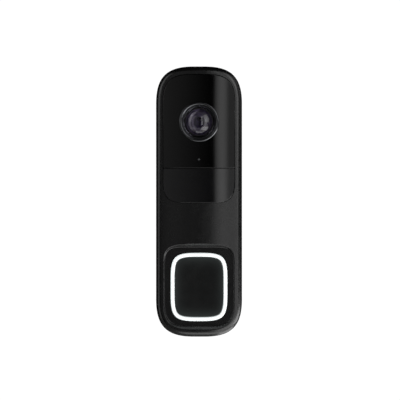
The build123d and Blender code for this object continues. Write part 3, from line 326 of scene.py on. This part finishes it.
# Zinc plate: pale blue-grey metal with a fine satin bloom.
ZINC = finish_with(
    "zinc_plated_steel", "#a4a8ad", "#bcc0c4", 0.32, 0.06, 0.4 * MM, 0.002 * MM, Metallic=1.0
)
# Machined brass under thin nickel: pale gold, bright on its edges.
BRASS = finish_with(
    "nickel_washed_brass", "#c8ab66", "#dcc287", 0.26, 0.05, 0.5 * MM, 0.002 * MM, Metallic=1.0
)
screws(
    "housing_screws", "doorbell", "screw_black", BLACK_STEEL, 1.4 * MM, 1.9 * MM, 0.85 * MM, 0.4 * MM,
    TO_WALL,
)
screws(
    "board_screws", "doorbell", "steel_zinc", ZINC, 0.9 * MM, 1.45 * MM, 0.55 * MM, 0.3 * MM, TO_WALL
)
screws(
    "ir_screws", "doorbell", "steel_zinc", ZINC, 0.9 * MM, 1.45 * MM, 0.55 * MM, 0.3 * MM, TO_WALL
)
screws(
    "button_screws", "doorbell", "steel_zinc", ZINC, 0.9 * MM, 1.45 * MM, 0.55 * MM, 0.3 * MM, TO_WALL
)
screws(
    "terminal_screws", "doorbell", "brass_nickel", BRASS, 1.3 * MM, 2.6 * MM, 1.2 * MM, 0.5 * MM, TO_WALL
)
screws(
    "security_screw", "security_screw", "screw_black", BLACK_STEEL, 1.1 * MM, 2.2 * MM, 1.05 * MM,
    0.5 * MM, DOWN,
)


# Seals and adhesive frames
# A silicone cord in the housings' joint, soft boots over the button's plunger and the microphone,
# and closed-cell foam frames that hold the windows and the speaker.

# Moulded silicone: charcoal, dry to the eye, with a faint bloom.
SILICONE = finish_with(
    "moulded_silicone_rubber", "#1c1c1d", "#262627", 0.6, 0.05, 0.5 * MM, 0.004 * MM
)
# Acrylic foam tape: dull and finely pitted by its cells.
FOAM = finish_with("closed_cell_foam_tape", "#131313", "#1e1e1e", 0.9, 0.04, 0.25 * MM, 0.02 * MM)
dress(SILICONE, "main_seal", "plunger_seal", "microphone_boot")
dress(FOAM, "window_tapes", "speaker_gasket")


# Camera window
# A curved acrylic pane, printed black on its back, with a polished front that mirrors the lights.
# A foam frame holds it in the front housing.

# Cast acrylic over black print: very dark, with sharp reflections and almost no haze.
PANE = finish_with(
    "polished_black_acrylic", "#020202", "#030303", 0.07, 0.01, 60 * MM, 0.004 * MM, IOR=1.49
)
dress(PANE, "camera_window")


# Motion window
# A thin moulded pane below the seam that lets body heat through to the sensor.

# Smoked polyethylene: a shade lighter and milkier than the acrylic, polished to match it.
MOTION_PANE = finish_with(
    "polished_smoked_polyethylene", "#0d0d0e", "#101011", 0.09, 0.015, 40 * MM, 0.006 * MM, IOR=1.54
)
dress(MOTION_PANE, "motion_window")


# Lens bezel
# A turned ring that stands proud of the pane, with a rounded crest and a stepped cone inside.

# Black chrome: soft bright arcs where it rounds towards the lights, near black elsewhere.
BLACK_CHROME = finish_with(
    "satin_black_chrome", "#57585a", "#606163", 0.2, 0.02, 8 * MM, 0.001 * MM, Metallic=1.0
)
dress(BLACK_CHROME, "lens_bezel")


# Lens
# A domed glass in a black anodised barrel, over a flat stop with a round opening, and two small
# glasses behind it. Their coatings leave a faint violet cast, which is painted on the stop as a painted
# reflection.

# Coated optical glass: clear and faintly violet, with soft reflections. The violet-grey seen through it
# is painted on the stop behind.
GLASS, glass_tree, glass_shader = new_material(
    "coated_optical_glass", Base_Color=linear("#d8d2e2"), IOR=1.62, Transmission_Weight=1.0,
)
glass_tree.links.new(patches(glass_tree, 3 * MM, 0.01, 0.05), glass_shader.inputs["Roughness"])
# Black anodised aluminium: a dark satin tube with fine turning marks.
BARREL = finish_with(
    "black_anodised_aluminium", "#0c0b0d", "#121014", 0.45, 0.04, 0.4 * MM, 0.002 * MM
)
dress(GLASS, "front_lens", "rear_lens")
# Coating of the inner glass: a strong violet mirror that puts one bright dot in the opening.
MIRROR = finish_with(
    "violet_mirror_coated_glass", "#57526a", "#5f5a72", 0.28, 0.03, 2 * MM, 0.001 * MM, Metallic=1.0
)
dress(MIRROR, "inner_lens")
dress(BARREL, "lens_barrel", "lens_holder")

# Blackened baffle, painted violet-grey behind the glass as a painted reflection of the coatings' violet
# cast, with rings 0.9 mm apart from its turning.
RING_PITCH = 0.9 * MM
RING_HEIGHT = 0.05 * MM
lens_low, lens_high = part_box("front_lens")
LENS_CENTRE = (Vector(lens_low) + Vector(lens_high)) / 2
STOP, stop_tree, stop_shader = new_material("turned_violet_grey_baffle", Roughness=0.5)
stop_place = add_node(stop_tree, "ShaderNodeTexCoord")
stop_centred = add_node(stop_tree, "ShaderNodeMapping", {
    "Vector": stop_place.outputs["Object"], "Location": tuple(-LENS_CENTRE),
})
stop_rings = add_node(stop_tree, "ShaderNodeTexWave", {
    "Vector": stop_centred.outputs["Vector"], "Scale": math.pi / 10 / RING_PITCH, "Distortion": 0.0,
}, wave_type="RINGS", rings_direction="Y")
# Both tones are violet-grey, a painted reflection of the coated glass. The rings between them come from
# the turning.
stop_rings_and_painted_reflection = add_node(stop_tree, "ShaderNodeMix", {
    "Factor": stop_rings.outputs["Fac"], "A": linear("#514d5c"), "B": linear("#676272"),
}, data_type="RGBA")
stop_relief = add_node(stop_tree, "ShaderNodeBump", {
    "Height": stop_rings.outputs["Fac"], "Distance": RING_HEIGHT, "Strength": 1.0,
})
stop_tree.links.new(stop_rings_and_painted_reflection.outputs["Result"], stop_shader.inputs["Base Color"])
stop_tree.links.new(stop_relief.outputs["Normal"], stop_shader.inputs["Normal"])
dress(STOP, "lens_stop")


# Light pipe
# A clear acrylic pin, flush with the pane, that brings daylight to the sensor behind it.

# Clear acrylic rod: a tiny grey window in the black pane.
PIPE, pipe_tree, pipe_shader = new_material(
    "clear_acrylic_rod", Base_Color=linear("#aeb1b3"), IOR=1.49, Transmission_Weight=0.85,
)
pipe_tree.links.new(patches(pipe_tree, 1 * MM, 0.1, 0.25), pipe_shader.inputs["Roughness"])
dress(PIPE, "light_pipe")


# Light ring of the button
# An opal polycarbonate ring, moulded with a flange behind the housing and a step that keeps the
# cap in. Eight lamps on the button board light it evenly from behind.

FLANGE = 0.9 * MM
STROKE = 1.82 * MM
RING_CORNER = (12.8 * MM, 0.16)
RING_EDGE = 0.45 * MM
SKIRT_STROKE = 1.1 * MM
FLANGE_HEIGHT = 1.3 * MM
SKIRT_HEIGHT = 1.65 * MM
CORNER_STEPS = 20


def soft_corner(corner, across, along, reach, pull, steps):
    """Points on one cubic corner, from along its first side to along its second."""
    guide = [
        corner - across * reach,
        corner - across * reach * pull,
        corner - along * reach * pull,
        corner - along * reach,
    ]
    for step in range(steps + 1):
        share = step / steps
        rest = 1 - share
        weights = (rest ** 3, 3 * rest ** 2 * share, 3 * rest * share ** 2, share ** 3)
        yield sum((point * weight for point, weight in zip(guide, weights)), Vector((0, 0, 0)))


def soft_rectangle(half_width, half_height, corner):
    """A closed outline in the XY plane with soft corners, as points and edges."""
    reach, pull = corner
    points = []
    for x, y in ((1, 1), (-1, 1), (-1, -1), (1, -1)):
        at = Vector((x * half_width, y * half_height, 0))
        across, along = Vector((x, 0, 0)), Vector((0, y, 0))
        if x * y > 0:
            across, along = along, across
        points.extend(soft_corner(at, across, along, reach, pull, CORNER_STEPS))
    edges = [(place, (place + 1) % len(points)) for place in range(len(points))]
    return points, edges


RING_TREE, source, result = new_tree(
    "swept_bar", Width="Float", Height="Float", Outward="Float", Back="Float", Edge="Float",
    Material="Material",
)
size = source.outputs
path = add_node(RING_TREE, "GeometryNodeMeshToCurve", {"Mesh": size["Geometry"]})
section = add_node(RING_TREE, "GeometryNodeCurvePrimitiveQuadrilateral", {
    "Width": size["Width"], "Height": size["Height"],
})
eased = add_node(RING_TREE, "GeometryNodeFilletCurve", {
    "Curve": section.outputs["Curve"], "Radius": size["Edge"], "Count": 6, "Limit Radius": True,
}, mode="POLY")
shift = add_node(RING_TREE, "ShaderNodeCombineXYZ", {"X": size["Outward"], "Y": size["Back"]})
shifted = add_node(RING_TREE, "GeometryNodeTransform", {
    "Geometry": eased.outputs["Curve"], "Translation": shift.outputs["Vector"],
})
bar = add_node(RING_TREE, "GeometryNodeCurveToMesh", {
    "Curve": path.outputs["Curve"], "Profile Curve": shifted.outputs["Geometry"],
})
smooth = add_node(RING_TREE, "GeometryNodeSetShadeSmooth", {"Geometry": bar.outputs["Mesh"]})
end_tree(RING_TREE, source, result, smooth.outputs["Geometry"])

ring_low, ring_high = map(Vector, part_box("button_light_ring"))
ring_centre = (ring_low + ring_high) / 2
ring_half = (ring_high - ring_low) / 2
ring_deep = ring_high.y - ring_low.y
ring_points, ring_edges = soft_rectangle(ring_half.x - FLANGE, ring_half.z - FLANGE, RING_CORNER)
# Opal polycarbonate, lit: an even cool white that just stops short of burning out.
OPAL, opal_tree, opal_shader = new_material(
    "opal_polycarbonate", Base_Color=linear("#e9eeee"), IOR=1.58, Emission_Strength=0.6,
    Emission_Color=linear("#f0f6f6"),
)
opal_tree.links.new(patches(opal_tree, 2 * MM, 0.32, 0.4), opal_shader.inputs["Roughness"])
rim_height = ring_deep - SKIRT_HEIGHT
# Each bar is a width, a height, how far out from the path and how far back it lies, and its edge.
ring_bars = (
    (STROKE, rim_height, -STROKE / 2, rim_height / 2 - ring_deep, RING_EDGE),
    (SKIRT_STROKE, SKIRT_HEIGHT, -SKIRT_STROKE / 2, -SKIRT_HEIGHT / 2, RING_EDGE / 4),
    (FLANGE, FLANGE_HEIGHT, FLANGE / 2, -FLANGE_HEIGHT / 2, RING_EDGE / 4),
)


def joined(name, parts):
    """Joins plain pieces into one object at the origin."""
    shape = bmesh.new()
    for part in parts:
        shape.from_mesh(part.data)
    mesh = bpy.data.meshes.new(name)
    shape.to_mesh(mesh)
    shape.free()
    mesh.materials.append(parts[0].data.materials[0])
    for part in parts:
        bpy.data.objects.remove(part)
    whole = bpy.data.objects.new(name, mesh)
    bpy.context.scene.collection.objects.link(whole)
    return whole


opal_ring = joined("lit_opal_ring", [
    grow("bar", RING_TREE, ring_points, ring_edges, Width=width, Height=height, Outward=outward,
         Back=back, Edge=edge, Material=OPAL)
    for width, height, outward, back, edge in ring_bars
])
ring_place = Matrix.Translation((ring_centre.x, ring_high.y, ring_centre.z))
opal_ring.data.transform(ring_place @ Matrix.Rotation(math.pi / 2, 4, "X"))
stand_in(opal_ring, "doorbell", "opal_ring", "button_light_ring")


# Button cap
# A shallow dished cap of satin polycarbonate. Its flange sits behind the ring's step, and its
# plunger reaches the switch.

# Satin black polycarbonate with a painted glow: an emission strongest at the rim that fades inwards,
# painted in for the ring's light spilling onto the cap.
CAP, cap_tree, cap_shader = new_material("smoked_satin_black_button_cap", IOR=1.5)
# Painted ring spill: the glow's strength at the cap's rim, and how steeply it fades towards the middle.
PAINTED_SPILL_GLOW = 0.035
PAINTED_SPILL_POWER = 6.0
cap_low, cap_high = map(Vector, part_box("button_cap"))
cap_place = add_node(cap_tree, "ShaderNodeTexCoord")
cap_centred = add_node(cap_tree, "ShaderNodeVectorMath", {
    0: cap_place.outputs["Object"], 1: (cap_low + cap_high) / 2,
}, operation="SUBTRACT")
cap_share = add_node(cap_tree, "ShaderNodeVectorMath", {
    0: cap_centred.outputs["Vector"], 1: (cap_high - cap_low) / 2,
}, operation="DIVIDE")
cap_either_side = add_node(cap_tree, "ShaderNodeVectorMath", {
    0: cap_share.outputs["Vector"],
}, operation="ABSOLUTE")
cap_sides = add_node(cap_tree, "ShaderNodeSeparateXYZ", {
    "Vector": cap_either_side.outputs["Vector"],
})
# Mask of the painted ring spill: near one at the cap's edges and near zero in its middle.
cap_across = add_node(cap_tree, "ShaderNodeMath", {
    0: cap_sides.outputs["X"], 1: PAINTED_SPILL_POWER,
}, operation="POWER")
cap_up = add_node(cap_tree, "ShaderNodeMath", {
    0: cap_sides.outputs["Z"], 1: PAINTED_SPILL_POWER,
}, operation="POWER")
cap_spill_mask = add_node(cap_tree, "ShaderNodeMath", {
    0: cap_across.outputs["Value"], 1: cap_up.outputs["Value"],
}, operation="ADD")
cap_painted_spill = add_node(cap_tree, "ShaderNodeMapRange", {
    "Value": cap_spill_mask.outputs["Value"], "To Max": PAINTED_SPILL_GLOW,
})
cap_tree.links.new(cap_painted_spill.outputs["Result"], cap_shader.inputs["Emission Strength"])
cap_colour = add_node(cap_tree, "ShaderNodeMix", {
    "Factor": patches(cap_tree, TONE_PATCH, 0.0, 1.0), "A": linear("#050606"), "B": linear("#070808"),
}, data_type="RGBA")
cap_tree.links.new(cap_colour.outputs["Result"], cap_shader.inputs["Base Color"])
cap_tree.links.new(patches(cap_tree, GLOSS_PATCH, 0.28, 0.32), cap_shader.inputs["Roughness"])
# Colour of the painted ring spill.
cap_shader.inputs["Emission Color"].default_value = linear("#dcefec")
dress(CAP, "button_cap")
# White filled resin, unpolished: dull and even, for the carrier plate and the small moving pins.
CARRIER = finish_with(
    "white_reflector_plastic", "#dcdcd8", "#e6e6e2", 0.5, 0.05, 0.4 * MM, 0.003 * MM
)
dress(CARRIER, "button_carrier", "connectors")
dress(CARRIER, "switch_stem", "reset_stem", "tamper_plunger", "tamper_stem")
dress(SILICONE, "reset_button")


# Speaker
# A small oblong speaker that faces the slots in the left side: a moulded basket, a treated paper
# diaphragm, a plated magnet, and a punched steel mesh that keeps dust out.

MESH_CELL = 0.55 * MM
MESH_HOLE = 0.62
MESH_TREE, source, result = new_tree(
    "punched_mesh", Length="Float", Width="Float", Columns="Int", Rows="Int", Hole="Float",
    Thickness="Float", Material="Material",
)
size = source.outputs
sheet = add_node(MESH_TREE, "GeometryNodeMeshGrid", {
    "Size X": size["Length"], "Size Y": size["Width"], "Vertices X": size["Columns"],
    "Vertices Y": size["Rows"],
})
split = add_node(MESH_TREE, "GeometryNodeExtrudeMesh", {
    "Mesh": sheet.outputs["Mesh"], "Offset Scale": 0.0,
})
shrunk = add_node(MESH_TREE, "GeometryNodeScaleElements", {
    "Geometry": split.outputs["Mesh"], "Selection": split.outputs["Top"], "Scale": size["Hole"],
})
punched = add_node(MESH_TREE, "GeometryNodeDeleteGeometry", {
    "Geometry": shrunk.outputs["Geometry"], "Selection": split.outputs["Top"],
}, domain="FACE")
tidy = add_node(MESH_TREE, "GeometryNodeMergeByDistance", {
    "Geometry": punched.outputs["Geometry"], "Distance": 0.001 * MM,
})
thick = add_node(MESH_TREE, "GeometryNodeExtrudeMesh", {
    "Mesh": tidy.outputs["Geometry"], "Offset Scale": size["Thickness"], "Individual": False,
})
under = add_node(MESH_TREE, "GeometryNodeFlipFaces", {"Mesh": tidy.outputs["Geometry"]})
both = add_node(MESH_TREE, "GeometryNodeJoinGeometry")
MESH_TREE.links.new(thick.outputs["Mesh"], both.inputs["Geometry"])
MESH_TREE.links.new(under.outputs["Mesh"], both.inputs["Geometry"])
closed = add_node(MESH_TREE, "GeometryNodeMergeByDistance", {
    "Geometry": both.outputs["Geometry"], "Distance": 0.001 * MM,
})
flat_face = add_node(MESH_TREE, "GeometryNodeInstanceOnPoints", {
    "Points": size["Geometry"], "Instance": closed.outputs["Geometry"],
})
end_tree(MESH_TREE, source, result, flat_face.outputs["Instances"])
mesh_low, mesh_high = map(Vector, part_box("speaker_mesh"))
mesh_size = mesh_high - mesh_low
# Blackened steel sheet: its punched edges catch a thin line of light.
BLACK_SHEET = finish_with(
    "blackened_steel_sheet", "#161617", "#1f1f21", 0.45, 0.05, 0.5 * MM, 0.002 * MM, Metallic=1.0
)
punched_mesh = grow(
    "punched_speaker_mesh", MESH_TREE, [(0, 0, 0)], [], Length=mesh_size.z, Width=mesh_size.y,
    Columns=int(mesh_size.z / MESH_CELL) + 1, Rows=int(mesh_size.y / MESH_CELL) + 1, Hole=MESH_HOLE,
    Thickness=mesh_size.x, Material=BLACK_SHEET,
)
mesh_centre = (mesh_low + mesh_high) / 2
mesh_place = Matrix.Translation((mesh_high.x, mesh_centre.y, mesh_centre.z))
punched_mesh.data.transform(mesh_place @ Matrix.Rotation(-math.pi / 2, 4, "Y"))
stand_in(punched_mesh, "doorbell", "mesh_cloth", "speaker_mesh")
# Moulded nylon basket: plain black with a soft gloss.
BASKET = finish_with("black_moulded_nylon", "#131314", "#19191a", 0.42, 0.05, 0.4 * MM, 0.003 * MM)
# Treated paper: dark, fibrous and dry.
PAPER = finish_with("treated_black_paper", "#1a1a1a", "#272727", 0.8, 0.05, 0.35 * MM, 0.015 * MM)
# Nickel over a sintered magnet: grey, faintly mottled.
MAGNET = finish_with(
    "nickel_plated_magnet", "#77787a", "#8c8d90", 0.3, 0.06, 0.6 * MM, 0.003 * MM, Metallic=1.0
)
dress(BASKET, "speaker_frame", "terminal_block")
dress(PAPER, "speaker_diaphragm")
dress(MAGNET, "speaker_magnet")


# Circuit boards and what is soldered to them
# Glass laminate under green solder mask, with copper tracks that show as lighter lines, black
# epoxy packages, tinned cans and clear moulded lamps.

TRACK_PITCH = 1.0 * MM
TRACK_HEIGHT = 0.03 * MM
SOLDER_MASK, mask_tree, mask_shader = new_material("green_solder_mask", IOR=1.55)
mask_place = add_node(mask_tree, "ShaderNodeTexCoord")
mask_flat = add_node(mask_tree, "ShaderNodeMapping", {
    "Vector": mask_place.outputs["Object"], "Rotation": (math.pi / 2, 0, 0),
})
tracks = add_node(mask_tree, "ShaderNodeTexBrick", {
    "Vector": mask_flat.outputs["Vector"], "Scale": 1.0, "Color1": linear("#0d4426"),
    "Color2": linear("#0f4a2a"), "Mortar": linear("#1f6b40"), "Mortar Size": TRACK_PITCH / 12,
    "Brick Width": 5 * TRACK_PITCH, "Row Height": TRACK_PITCH,
})
mask_tree.links.new(tracks.outputs["Color"], mask_shader.inputs["Base Color"])
mask_tree.links.new(patches(mask_tree, 2 * MM, 0.22, 0.34), mask_shader.inputs["Roughness"])
mask_relief = add_node(mask_tree, "ShaderNodeBump", {
    "Height": tracks.outputs["Fac"], "Distance": TRACK_HEIGHT, "Strength": 1.0,
})
mask_tree.links.new(mask_relief.outputs["Normal"], mask_shader.inputs["Normal"])
dress(SOLDER_MASK, "camera_board", "ir_board", "button_board", "main_board")
# Moulded epoxy: black with a fine dry grain.
EPOXY = finish_with("black_epoxy_package", "#141415", "#1b1b1c", 0.5, 0.05, 0.3 * MM, 0.004 * MM)
dress(EPOXY, "image_sensor", "light_sensor", "button_switch", "chips", "small_switches")
# Tinned steel: soft grey metal with a slight orange-peel waviness.
TIN = finish_with(
    "tinned_steel", "#b2b1ab", "#c4c3bd", 0.28, 0.06, 1.2 * MM, 0.006 * MM, Metallic=1.0
)
dress(TIN, "motion_sensor", "microphone", "shield_can")
# Clear lamp epoxy: glassy, a little yellow.
LAMP_EPOXY = finish_with("clear_lamp_epoxy", "#cfd0c4", "#dedfd3", 0.15, 0.03, 0.5 * MM, 0.002 * MM)
dress(LAMP_EPOXY, "ir_lamps", "ring_lamps")
dress(BRASS, "terminal_pins")


# Backup cell
# A flat pouch of aluminium laminate with a folded seam, stuck inside the back wall.

# Laminated foil: silver with broad shallow creases.
FOIL = finish_with(
    "aluminium_laminate_pouch", "#b5b8ba", "#cdd0d2", 0.26, 0.07, 2.5 * MM, 0.06 * MM, Metallic=1.0
)
dress(FOIL, "backup_cell")


# Antenna and internal cables
# A printed film antenna with its thin coaxial lead, and two flat film cables between the boards.

# Polyimide film: transparent amber over copper, glossy.
FILM = finish_with("amber_polyimide_film", "#87500f", "#9c6118", 0.22, 0.05, 1.0 * MM, 0.003 * MM)
# Thin extruded jacket: mid grey and slightly waxy.
JACKET = finish_with("grey_cable_jacket", "#3d3e40", "#49494b", 0.48, 0.05, 0.4 * MM, 0.003 * MM)
dress(FILM, "antenna", "camera_cable", "button_cable")
dress(JACKET, "antenna_cable")


# Studio floor
# Pale matt paper, well below the doorbell.

FLOOR_Z = -0.5
FLOOR_HALF = 1.0
FLOOR_LIFT = 0.72
floor_mesh = bpy.data.meshes.new("studio_floor")
floor_corners = [
    (x * FLOOR_HALF, y * FLOOR_HALF, FLOOR_Z) for x, y in ((-1, -1), (1, -1), (1, 1), (-1, 1))
]
floor_mesh.from_pydata(floor_corners, [], [(0, 1, 2, 3)])
floor = bpy.data.objects.new("studio_floor", floor_mesh)
bpy.context.scene.collection.objects.link(floor)
# Matt paper: pale and even to the eye, with no light of its own on the doorbell.
PALE_PAPER = finish_with("pale_matt_paper", "#e4e4e2", "#e9e9e7", 0.8, 0.03, 3 * MM, 0.02 * MM)
floor_mesh.materials.append(PALE_PAPER)
paper_tree = PALE_PAPER.node_tree
paper_seen = add_node(paper_tree, "ShaderNodeLightPath")
paper_lift = add_node(paper_tree, "ShaderNodeMapRange", {
    "Value": paper_seen.outputs["Is Camera Ray"], "To Max": FLOOR_LIFT,
})
paper_shader = paper_tree.nodes["Principled BSDF"]
paper_tree.links.new(paper_lift.outputs["Result"], paper_shader.inputs["Emission Strength"])


# Camera
# Level with the middle of the doorbell and square to its front, with a long lens.

LENS = 100.0
SENSOR_WIDTH = 36.0
FRAME_HEIGHT = 0.2052
EDGE_DEPTH = 0.022
CAMERA_OFFSET = (0.0005, 0.0008)
camera_data = bpy.data.cameras.new("front_camera")
camera_data.lens = LENS
camera_data.sensor_width = SENSOR_WIDTH
camera_data.clip_start = 0.01
camera_data.clip_end = 20.0
camera = bpy.data.objects.new("front_camera", camera_data)
bpy.context.scene.collection.objects.link(camera)
distance = FRAME_HEIGHT * LENS / SENSOR_WIDTH
camera.location = (CAMERA_OFFSET[0], -EDGE_DEPTH - distance, CAMERA_OFFSET[1])
camera.rotation_euler = (math.radians(90), 0, 0)
bpy.context.scene.camera = camera


# Lights
# One tall sweep of panels in front: a bright core right of the camera that fades to both sides, and
# a dim fill that grows to the left. Soft panels stand round the sides, above and below.
# Angles are in degrees from straight ahead, and right is positive.

SWEEP_FROM = -28.0
SWEEP_TO = 27.0
SWEEP_STEP = 1.25
SWEEP_DISTANCE = 1.5
SWEEP_HEIGHT = 1.5
SWEEP_ELEVATION = 12.0
CORE_ANGLE = 17.0
CORE_SPREAD = 6.0
CORE_GLOW = 1.4
RIGHT_GLOW = 0.45
LEFT_GLOW = 0.25
LEFT_END = 8.0


def panel(name, azimuth, elevation, distance, width, height, glow):
    """A soft light panel that faces the doorbell. Glow is its brightness, whatever its size."""
    data = bpy.data.lights.new(name, "AREA")
    data.shape = "RECTANGLE"
    data.size = width
    data.size_y = height
    data.energy = glow * math.pi * width * height
    light = bpy.data.objects.new(name, data)
    bpy.context.scene.collection.objects.link(light)
    a, e = math.radians(azimuth), math.radians(elevation)
    away = Vector((math.sin(a) * math.cos(e), -math.cos(a) * math.cos(e), math.sin(e)))
    light.location = away * distance
    light.rotation_euler = away.to_track_quat("Z", "Y").to_euler()
    light.visible_camera = False
    return light


def sweep_glow(azimuth):
    """The sweep's brightness at an angle: a rounded core, and a fill on each side of it."""
    core = CORE_GLOW * (1 - ((azimuth - CORE_ANGLE) / CORE_SPREAD) ** 2)
    left = LEFT_GLOW * (LEFT_END - azimuth) / (LEFT_END - SWEEP_FROM)
    right = RIGHT_GLOW if azimuth > CORE_ANGLE else 0.0
    return max(core, left, right)


sweep_width = SWEEP_DISTANCE * math.tan(math.radians(SWEEP_STEP))
for step in range(int((SWEEP_TO - SWEEP_FROM) / SWEEP_STEP)):
    azimuth = SWEEP_FROM + SWEEP_STEP * (step + 0.5)
    panel(
        f"sweep_{step}", azimuth, SWEEP_ELEVATION, SWEEP_DISTANCE, sweep_width, SWEEP_HEIGHT,
        sweep_glow(azimuth),
    )
for name, azimuth, elevation, distance, width, height, glow in (
    ("left", -70, 0, 1.4, 0.6, 1.2, 0.8),
    ("high_left", -55, 25, 1.4, 0.6, 1.0, 1.0),
    ("right", 37, 0, 1.4, 0.45, 1.2, 1.0),
    ("high_right", 45, 25, 1.4, 0.6, 1.0, 1.5),
    ("high_side", 90, 25, 1.4, 0.5, 1.0, 0.5),
    ("low_right", 40, -28, 0.75, 0.6, 0.3, 2.0),
    ("low_side", 80, -25, 0.75, 0.6, 0.3, 4.0),
    ("under", 10, -60, 0.5, 0.4, 0.25, 1.5),
    ("under_right", 100, -60, 0.5, 0.4, 0.25, 3.0),
):
    panel(name, azimuth, elevation, distance, width, height, glow)

# White all round for the eye of the camera, and a white sweep behind the doorbell for its edges.
BACKDROP = 1.05
SURROUND = 0.01
SWEEP_EDGE = 0.88
SWEEP_FULL = 0.95
world = bpy.data.worlds.new("studio")
world.use_nodes = True
bpy.context.scene.world = world
tree = world.node_tree
direction = add_node(tree, "ShaderNodeTexCoord")
parts = add_node(tree, "ShaderNodeSeparateXYZ", {"Vector": direction.outputs["Generated"]})
behind = add_node(tree, "ShaderNodeMapRange", {
    "Value": parts.outputs["Y"], "From Min": SWEEP_EDGE, "From Max": SWEEP_FULL,
    "To Min": SURROUND, "To Max": BACKDROP,
})
seen = add_node(tree, "ShaderNodeLightPath")
glow = add_node(tree, "ShaderNodeMix", {
    "Factor": seen.outputs["Is Camera Ray"], "A": behind.outputs["Result"], "B": BACKDROP,
})
tree.nodes["Background"].inputs["Color"].default_value = (1.0, 1.0, 1.0, 1.0)
tree.links.new(glow.outputs["Result"], tree.nodes["Background"].inputs["Strength"])
bpy.context.scene.view_settings.view_transform = "Standard"
